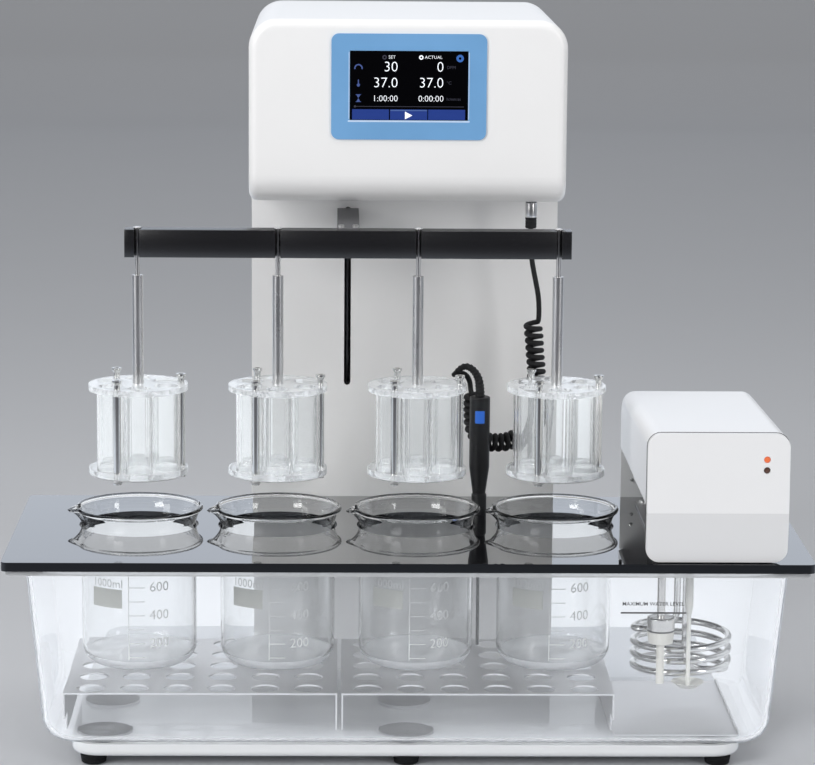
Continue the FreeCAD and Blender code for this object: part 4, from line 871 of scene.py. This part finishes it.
screen = {
    "left": -53.0, "bottom": 566.6, "proud": 0.08, "thickness": 0.05,
    "finish": {"Figures": "screenWhite", "Signs": "screenBlue", "Units": "screenGrey", "Buttons": "screenBar",
               "Edge": "screenEdge", "Gear": "screenGear"},
    # where each column of figures ends, what it says, and the rows
    "columns": ((43.6, ("30", "37.0", "1:00:00")), (85.1, ("0", "37.0", "0:00:00"))),
    "rows": (48.2, 33.8, 19.6), "figureHeight": 9.5, "timeHeight": 5.7, "figureWeight": -0.02,
    "headings": (("SET", 38.0), ("ACTUAL", 75.6)), "headingRow": 57.2, "headingHeight": 3.0,
    "headingWeight": -0.04,
    "units": (("DPM", 48.0), ("\u00b0C", 34.0), ("h:mm:ss", 19.4)), "unitLeft": 87.6, "unitHeight": 2.9,
    # radius, width, first and last angle, steps and place of each ring or bow
    "rings": {"Figures": ((1.5, 1.1, 0, 360, 20, 64.4, 57.1),),
              "Signs": ((3.3, 1.2, -12, 192, 20, 7.6, 47.0), (0.75, 1.4, 0, 360, 20, 7.6, 31.9)),
              "Units": ((1.5, 1.1, 0, 360, 20, 31.2, 57.1), (0.5, 1.0, 0, 360, 20, 4.6, 12.5)),
              "Gear": ((2.3, 2.2, 0, 360, 32, 99.6, 56.4),)},
    # width, height, corner and place of each bar
    "bars": {"Signs": ((1.0, 4.4, 0.45, 7.6, 34.6), (4.8, 0.5, 0, 7.6, 23.2), (4.8, 0.5, 0, 7.6, 16.7)),
             "Units": ((100, 0.5, 0, 53.5, 12.5),)},
    # corners, place and height over the face of each arrow head
    "arrows": {"Figures": ((((-2.9, 3.5), (-2.9, -3.5), (3.9, 0)), 52.9, 4.5, 0.1),),
               "Signs": ((((-1.9, 0), (0, -3.2), (1.9, 0)), 7.6, 23.2, 0.01),
                         (((-1.9, 0), (0, 3.2), (1.9, 0)), 7.6, 16.7, 0.01))},
    "buttons": ((2.0, 35.4), (36.5, 70.3), (71.1, 104.6)), "buttonLow": 0.5, "buttonHigh": 9.9,
    "edgeHeight": 1.0, "edgeShorter": 0.6, "edgeDrop": 0.9, "edgeOver": 0.1,
}


def onScreen(mesh, u, v, over=0.0):
    # stands a mark on the screen, in millimetres from its lower left, and over another mark
    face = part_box("touch_screen")[0][1] - (screen["proud"] + over) * mm
    return moved(mesh, facing((screen["left"] + u) * mm, face, (screen["bottom"] + v) * mm))


def arcBand(radius, width, first, last, steps):
    points, faces = [], []
    for i in range(steps + 1):
        angle = math.radians(first + (last - first) * i / steps)
        for r in (radius - width / 2, radius + width / 2):
            for z in (0, screen["thickness"]):
                points.append((r * math.cos(angle) * mm, r * math.sin(angle) * mm, z * mm))
    for i in range(steps):
        a = 4 * i
        for p, q in ((0, 1), (1, 3), (3, 2), (2, 0)):
            faces.append((a + p, a + q, a + q + 4, a + p + 4))
    faces += [(0, 1, 3, 2), (4 * steps, 4 * steps + 2, 4 * steps + 3, 4 * steps + 1)]
    return meshFrom("band", points, faces, smooth=False)


def makeScreen():
    shapes = {name: [] for name in screen["finish"]}

    def show(name, mesh, *place):
        shapes[name].append(onScreen(mesh, *place))

    for right, texts in screen["columns"]:
        for text, row in zip(texts, screen["rows"]):
            height = screen["timeHeight" if ":" in text else "figureHeight"] * mm
            show("Figures", words(text, height, "RIGHT", screen["figureWeight"] * height), right, row)
    for text, u in screen["headings"]:
        heading = words(text, screen["headingHeight"] * mm, "CENTER", screen["headingWeight"] * mm)
        show("Figures", heading, u, screen["headingRow"])
    for text, row in screen["units"]:
        show("Units", words(text, screen["unitHeight"] * mm, "LEFT"), screen["unitLeft"], row)
    for name, rings in screen["rings"].items():
        for *form, u, v in rings:
            show(name, arcBand(*form), u, v)
    for name, bars in screen["bars"].items():
        for width, height, corner, u, v in bars:
            show(name, plate(width * mm, height * mm, corner=corner * mm), u, v)
    for name, arrows in screen["arrows"].items():
        for corners, *place in arrows:
            show(name, slab(scaled(corners), 0, marking["plateDepth"]), *place)
    low, high = screen["buttonLow"], screen["buttonHigh"]
    for left, right in screen["buttons"]:
        show("Buttons", plate((right - left) * mm, (high - low) * mm), (left + right) / 2, (low + high) / 2)
    left, right = screen["buttons"][1]
    edge = plate((right - left - screen["edgeShorter"]) * mm, screen["edgeHeight"] * mm)
    show("Edge", edge, (left + right) / 2, high - screen["edgeDrop"], screen["edgeOver"])
    for name, finish in screen["finish"].items():
        piece(f"screen{name}", joined(f"screen{name}", shapes[name]), finish, slot="screen_black")


# sizes of the painted highlight strips on the bezel's chamfer
paintedHighlight = {"outside": 0.2, "overlap": 1.6, "bottomHeight": 1.6, "bottomDrop": 1.0, "sideWidth": 0.7,
       "sideOut": 0.6, "sideShorter": 2, "thickness": 0.2, "corner": 0.34, "proud": 0.02}


def makePaintedHighlight():
    # painted highlight: light strips standing in for the shine on the chamfer round the lower part of the
    # opening
    low, high, centre = boxOf("touch_screen")
    wide = high[0] - low[0] + 2 * (paintedHighlight["outside"] + paintedHighlight["overlap"]) * mm
    tall, out = high[2] - low[2] - paintedHighlight["sideShorter"] * mm, (paintedHighlight["outside"] + paintedHighlight["sideOut"]) * mm
    face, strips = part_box("screen_bezel")[0][1] - paintedHighlight["proud"] * mm, []
    for width, height, x, z in ((wide, paintedHighlight["bottomHeight"] * mm, centre[0], low[2] - paintedHighlight["bottomDrop"] * mm),
                                (paintedHighlight["sideWidth"] * mm, tall, low[0] - out, centre[2]),
                                (paintedHighlight["sideWidth"] * mm, tall, high[0] + out, centre[2])):
        strip = plate(width, height, paintedHighlight["thickness"] * mm, paintedHighlight["corner"] * mm)
        strips.append(moved(strip, facing(x, face, z)))
    piece("screenPaintedHighlight", joined("screenPaintedHighlight", strips), "bezelLip", slot="bezel_blue")


makeScreen()
makePaintedHighlight()
print("screen done")


# small things on the bath and the heater

waterLine = {"x": 215.5, "below": 47, "width": 58, "stroke": 1.5, "text": "MAXIMUM WATER LEVEL", "textX": 215,
             "textAbove": 8.2, "textHeight": 3.5, "textWeight": 0.05, "lean": 5.5, "proud": 0.15}


def frontOf(node, x, z):
    # y of a piece's surface as it is met from the front
    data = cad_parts[node].data
    faces = [tuple(face.vertices) for face in data.polygons]
    tree = BVHTree.FromPolygons([vertex.co.copy() for vertex in data.vertices], faces)
    return tree.ray_cast(Vector((x, -1, z)), Vector((0, 1, 0)))[0].y


def makeWaterLine():
    line = plate(waterLine["width"] * mm, waterLine["stroke"] * mm)
    text = words(waterLine["text"], waterLine["textHeight"] * mm, "CENTER", waterLine["textWeight"] * mm)
    lean = Matrix.Rotation(math.radians(waterLine["lean"]), 4, "X")
    marks = []
    for mesh, x, above in ((line, waterLine["x"], 0), (text, waterLine["textX"], waterLine["textAbove"])):
        x, z = x * mm, deckTop + (above - waterLine["below"]) * mm
        y = frontOf("water_bath_tank", x, z) - waterLine["proud"] * mm
        marks.append(moved(mesh, Matrix.Translation((x, y, z)) @ lean @ facing(0, 0, 0)))
    piece("waterLine", joined("waterLine", marks), "darkInk", slot="clear_tank")


probeLabel = {"width": 9.0, "height": 11.7, "z": 291.2, "turn": 2, "corner": 0.8, "radius": 9.4,
              "clearance": 0.08, "slice": 1}


def makeProbeLabel():
    centre = boxOf("probe_handle")[2]
    flat = plate(probeLabel["width"] * mm, probeLabel["height"] * mm, corner=probeLabel["corner"] * mm)
    flat = placed(cutFine(flat, probeLabel["slice"] * mm), 0, probeLabel["z"])
    label = wrapped(flat, *centre[:2], probeLabel["radius"] * mm, probeLabel["clearance"] * mm,
                    probeLabel["turn"])
    piece("probeLabel", label, "labelBlue", slot="bezel_blue")


# shares of the plug's radius and height
plugShape = {"barrel": ((0, 0), (0.86, 0), (0.94, 0.05), (0.97, 0.10), (0.97, 0.66), (0.95, 0.68),
                        (0.90, 0.70), (0.90, 0.76), (0.96, 0.78), (1, 0.80), (1, 1), (0, 1)),
             "ringRadius": 0.93, "ringAt": 0.73, "ringHalf": 0.03, "ringWidth": 0.9, "flatUnder": 0.3}


def makePlug():
    # steel barrel with a coupling nut and a dark ring
    low, high, centre = boxOf("probe_plug")
    radius, tall = (high[0] - low[0]) / 2, high[2] - low[2]
    barrel = lathe("plug", scaled(plugShape["barrel"], radius, tall, low[2]), centre=centre)
    plug = piece("probePlugTurned", barrel, "uprightSteel", slot="plug_steel")
    for face in plug.data.polygons:
        face.use_smooth = abs(face.normal.z) < plugShape["flatUnder"]
    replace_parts(plug, "probe_plug")
    outside = plugShape["ringRadius"] * radius
    inside = outside - plugShape["ringWidth"] * mm
    lower, upper = (low[2] + tall * (plugShape["ringAt"] + side * plugShape["ringHalf"]) for side in (-1, 1))
    ring = band("ring", inside, outside, lower, upper, centre)
    piece("plugRings", ring, "bandSteel", slot="plug_steel")


lens = {"radius": 2.75, "reach": 5.6, "dome": 1.0}


def makeLamps():
    low, high, centre = boxOf("indicator_lights")
    radius, reach = lens["radius"], lens["reach"]
    profile = [(0, 0), (radius, 0), (radius, reach)]
    profile += [(radius * math.cos(math.radians(a)), reach + lens["dome"] * math.sin(math.radians(a)))
                for a in range(15, 91, 15)]
    for name, finish, z in (("readyLamp", "lampOrange", high[2] - radius * mm),
                            ("heatLamp", "lampOff", low[2] + radius * mm)):
        shape = moved(lathe("lens", scaled(profile), sides=24), facing(centre[0], high[1], z))
        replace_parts(piece(name, shape, finish, slot="lamp_orange"), "indicator_lights")


trim = {
    "hoodScrews": ((218.5, 224.8), (218.7, 214.9), (228.7, 201.4)),
    "screwHead": ((0, 0), (1.7, 0), (1.7, 0.5), (1.2, 1.1), (0, 1.3)),
    "thumbScrew": (226, 1),
    "thumbGrip": ((0, 0), (2.2, 0), (2.2, 1.2), (3.9, 1.4), (4.1, 1.8), (4.1, 5.2), (3.7, 5.8), (0, 5.8)),
    "bumper": (184.6, -232),
    "bumperStud": ((0, 0), (1.3, 0), (1.3, 2.2), (0.9, 2.8), (0, 3.0)),
    "jointOut": 0.1, "jointBack": 0.15, "jointWidth": 0.8, "jointCorner": 12,
}


def onDeck(shape, place, sides):
    # a turned shape that stands on the deck
    return lathe("turned", scaled(trim[shape], base=deckTop), sides, [value * mm for value in trim[place]])


def makeHeaterScrews():
    # screws of the hood's tail, and the thumb screw on the deck
    heads = []
    for x, z in trim["hoodScrews"]:
        y = frontOf("heater_hood", x * mm, z * mm)
        heads.append(moved(lathe("screw", scaled(trim["screwHead"]), sides=24), facing(x * mm, y, z * mm)))
    heads.append(onDeck("thumbGrip", "thumbScrew", 32))
    piece("heaterScrews", joined("heaterScrews", heads), "uprightSteel", slot="screw_steel")


def makeBumper():
    piece("deckBumper", onDeck("bumperStud", "bumper", 24), "footRubber", slot="foot_rubber")


def makePanelGapShade():
    # painted shadow: a dark tube in the gap round the heater's panel, where shade falls between the panel and
    # the frame behind it
    low, high, centre = boxOf("heater_front_panel")
    width, height = (high[i] - low[i] + 2 * trim["jointOut"] * mm for i in (0, 2))
    outline = roundedOutline(width, height, trim["jointCorner"] * mm, 6)
    y = high[1] + trim["jointBack"] * mm
    path = [(centre[0] + u, y, centre[2] + v) for u, v in outline + outline[:1]]
    piece("panelGapShade", tube("joint", path, trim["jointWidth"] / 2 * mm, sides=8), "seam", slot="motor_dark")


# domed heads of the bolts and caps of the hangers, as radius and height
dome = {"bolt": ((0, 0.05), (2.4, 0.3), (3.9, 0.95), (4.6, 2.0), (4.75, 3.2), (4.75, 4.2), (0, 4.2)),
        "cap": ((0, -0.4), (3.7, -0.4), (3.75, -0.1), (3.2, 0.25), (1.8, 0.4), (0, 0.45)),
        "capSunk": 0.4, "boltApart": 10}


def lowestGroups(node, apart, within=0.1 * mm):
    # the lowest vertices of one of the frame's own pieces, in groups that stand apart
    low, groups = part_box(node)[0][2], []
    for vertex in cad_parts[node].data.vertices:
        if vertex.co.z > low + within:
            continue
        near = [group for group in groups if (group[0] - vertex.co).length < apart]
        if near:
            near[0].append(vertex.co.copy())
        else:
            groups.append([vertex.co.copy()])
    return low, groups


def makeBoltHeads():
    # domed heads of the bolts, under the lower plates
    for k in stations:
        low, groups = lowestGroups(f"basket_{k}_bolts", dome["boltApart"] * mm)
        middles = [sum(group, Vector()) / len(group) for group in groups]
        heads = [lathe("head", scaled(dome["bolt"], base=low), sides=24, centre=middle) for middle in middles]
        name = f"basket{k}BoltHeads"
        piece(name, joined(name, heads), "headSteel", f"basket_{k}", slot="screw_steel")


def makeCaps():
    # domed heads of the hangers, on the beam
    for k in stations:
        low, high, centre = boxOf(f"basket_{k}_hanger")
        cap = lathe("cap", scaled(dome["cap"], base=high[2] - dome["capSunk"] * mm), sides=32, centre=centre)
        piece(f"basket{k}Cap", cap, "headSteel", f"basket_{k}", slot="screw_steel")


beam = {"bevel": 0.5, "segments": 2, "mergeWithin": 0.01, "flatWithin": 1, "bevelOver": 40, "sharpOver": 35}


def bevelled(node):
    # a copy of one of the frame's own pieces with its sharp edges eased
    shape = bmesh.new()
    shape.from_mesh(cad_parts[node].data)
    flat, steep, sharp = (math.radians(beam[key]) for key in ("flatWithin", "bevelOver", "sharpOver"))
    bmesh.ops.remove_doubles(shape, verts=shape.verts, dist=beam["mergeWithin"] * mm)
    bmesh.ops.dissolve_limit(shape, angle_limit=flat, verts=shape.verts, edges=shape.edges)
    edges = [edge for edge in shape.edges if len(edge.link_faces) == 2 and edge.calc_face_angle() > steep]
    bmesh.ops.bevel(shape, geom=edges, offset=beam["bevel"] * mm, segments=beam["segments"], profile=0.5,
                    affect="EDGES", clamp_overlap=True)
    for face in shape.faces:
        face.smooth = True
    data = bpy.data.meshes.new(node)
    shape.to_mesh(data)
    shape.free()
    data.set_sharp_from_angle(angle=sharp)
    return data


def makeBeam():
    # the bar that the baskets hang in, with its edges broken
    bar = piece("hangerBeam", bevelled("hanger_beam"), "anodised", "lift", slot="black_anodised")
    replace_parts(bar, "hanger_beam")


# shares of a foot's radius and height; a rib's points have a radius, what each next rib adds, and a height
foot = {"bottom": ((0, 0), (0.72, 0), (0.84, 0.06)), "top": ((0.98, 1), (0, 1)), "ribs": 3, "firstRib": 0.12,
        "ribPitch": 0.28,
        "rib": ((0.90, 0.04, 0), (0.93, 0.035, 0.04), (0.93, 0.035, 0.2), (0.90, 0.035, 0.24))}


def looseParts(node):
    # where the vertices are, for each loose part of one of the frame's own pieces
    work, parts = bmesh.new(), []
    work.from_mesh(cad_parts[node].data)
    left = set(work.verts)
    while left:
        part, todo = [], [left.pop()]
        while todo:
            vertex = todo.pop()
            part.append(vertex.co.copy())
            near = {edge.other_vert(vertex) for edge in vertex.link_edges} & left
            left -= near
            todo += near
        parts.append(part)
    work.free()
    return parts


def makeFeet():
    # domed rubber feet with ribs: one on each loose part of the frame's feet, of which a foot has three
    profile = list(foot["bottom"])
    for i in range(foot["ribs"]):
        base = foot["firstRib"] + foot["ribPitch"] * i
        profile += [(r + wider * i, base + z) for r, wider, z in foot["rib"]]
    profile += foot["top"]
    low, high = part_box("rubber_feet")
    feet = []
    for part in looseParts("rubber_feet"):
        xs, ys = [point.x for point in part], [point.y for point in part]
        shape = scaled(profile, (max(xs) - min(xs)) / 2, high[2] - low[2], low[2])
        feet.append(lathe("foot", shape, centre=((min(xs) + max(xs)) / 2, (min(ys) + max(ys)) / 2)))
    print("shapes in the feet:", len(feet))
    ribbed = piece("ribbedFeet", joined("ribbedFeet", feet), "footRubber", slot="foot_rubber")
    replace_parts(ribbed, "rubber_feet")


makeWaterLine()
makeProbeLabel()
makePlug()
makeLamps()
makeHeaterScrews()
makeBumper()
makePanelGapShade()
makeBeam()
makeBoltHeads()
makeCaps()
makeFeet()
print("small things done")


# floor, backdrop and light

studio = {
    "floor": (0.56, 0.57, 0.59), "backdrop": (0.66, 0.67, 0.70),
    "around": (0.88, 0.885, 0.90), "strength": 0.5, "aim": (0, 0, 0.3),
    "mirrored": (0.83, 0.895, 1.0), "passed": (0.93, 0.96, 1.0),
    "mirroredFront": (0.10, 0.10, 0.11), "passedFront": (0.42, 0.43, 0.45),
    "sweep": ((-7, 0), (5.6, 0), (6.1, 0.15), (6.4, 0.6), (6.5, 4)), "halfWidth": 7,
    # how far to the front and the sides the mirrored floor stays pale, and how fast it turns dark
    "frontEdge": (1.3, 1.6), "sideEdge": (2.2, 1.5), "horizon": (0.3, 2.5),
    "glowFrom": 0.7, "glowNearer": 1.5,  # far off it shines by itself, and nearer for what looks through
}
lamps = {
    "key": {"at": (-1.8, -2.0, 1.7), "size": (0.9, 1.9), "power": 40},
    "fill": {"at": (1.9, -1.8, 1.2), "size": (0.5, 1.8), "power": 17},
    "low": {"at": (-2.3, -1.5, 0.6), "size": (0.7, 0.9), "power": 5},
    "top": {"at": (0.0, -0.2, 2.4), "size": (2.0, 1.4), "power": 17},
}


def mirroredTone(g, behind, passed):
    # what glass and metal find: pale behind the object, dark in front of it
    return g.mix(behind, g.mix(passed, studio["mirroredFront"], studio["passedFront"]),
                 g.mix(passed, studio["mirrored"], studio["passed"]))


def makeFloor():
    # glass and metal find the floor white behind the bath, and dark to the front and the sides
    g = Graph("studioFloor")
    x, y = g.whereabouts()[:2]
    speck = g.noise(3, 2)
    glossy, passed = g.rays("Glossy", "Transmission")
    seen = principled(g, Base_Color=g.mix(speck, shaded(studio["floor"], 0.98), studio["floor"]),
                      Roughness=0.65)
    aside = g.add("Math", {"operation": "ABSOLUTE"}, x)[0]
    (front, frontRate), (side, sideRate) = studio["frontEdge"], studio["sideEdge"]
    central = ((y + front) * frontRate).limited() * ((side - aside) * sideRate).limited()
    tone = mirroredTone(g, central, passed)
    near = g.add("BsdfDiffuse", None, tone)[0]
    far = g.add("Emission", None, tone)[0]
    glow = (y - studio["glowFrom"] + studio["glowNearer"] * passed).limited()
    mirrored = g.add("MixShader", None, glow, near, far)[0]
    points = [(x, y, z) for y, z in studio["sweep"] for x in (-studio["halfWidth"], studio["halfWidth"])]
    faces = [(2 * i, 2 * i + 1, 2 * i + 3, 2 * i + 2) for i in range(len(studio["sweep"]) - 1)]
    floor = bpy.data.objects.new("floor", meshFrom("floor", points, faces))
    floor.data.materials.append(g.finish(g.add("MixShader", None, glossy + passed, seen, mirrored)[0]))
    bpy.context.collection.objects.link(floor)


def makeWorld():
    g = Graph("studio", world=True)
    direct, glossy, passed = g.rays("Camera", "Glossy", "Transmission")
    level, rate = studio["horizon"]
    tone = mirroredTone(g, (g.whereabouts(0)[1] * rate + level).limited(), passed)
    light = g.add("Background", None, studio["around"], studio["strength"])[0]
    mirrored = g.add("MixShader", None, glossy + passed, light, g.add("Background", None, tone)[0])[0]
    seen = g.add("Background", None, studio["backdrop"])[0]
    bpy.context.scene.world = g.finish(g.add("MixShader", None, direct, mirrored, seen)[0])


def makeLights():
    aim = Vector(studio["aim"])
    for name, lamp in lamps.items():
        data = bpy.data.lights.new(name, "AREA")
        data.shape = "RECTANGLE"
        data.size, data.size_y = lamp["size"]
        data.energy = lamp["power"]
        light = bpy.data.objects.new(name, data)
        light.location = lamp["at"]
        light.rotation_euler = (aim - Vector(lamp["at"])).to_track_quat("-Z", "Y").to_euler()
        bpy.context.collection.objects.link(light)


makeFloor()
makeWorld()
makeLights()
bpy.context.scene.view_settings.view_transform = "Standard"
print("studio done")
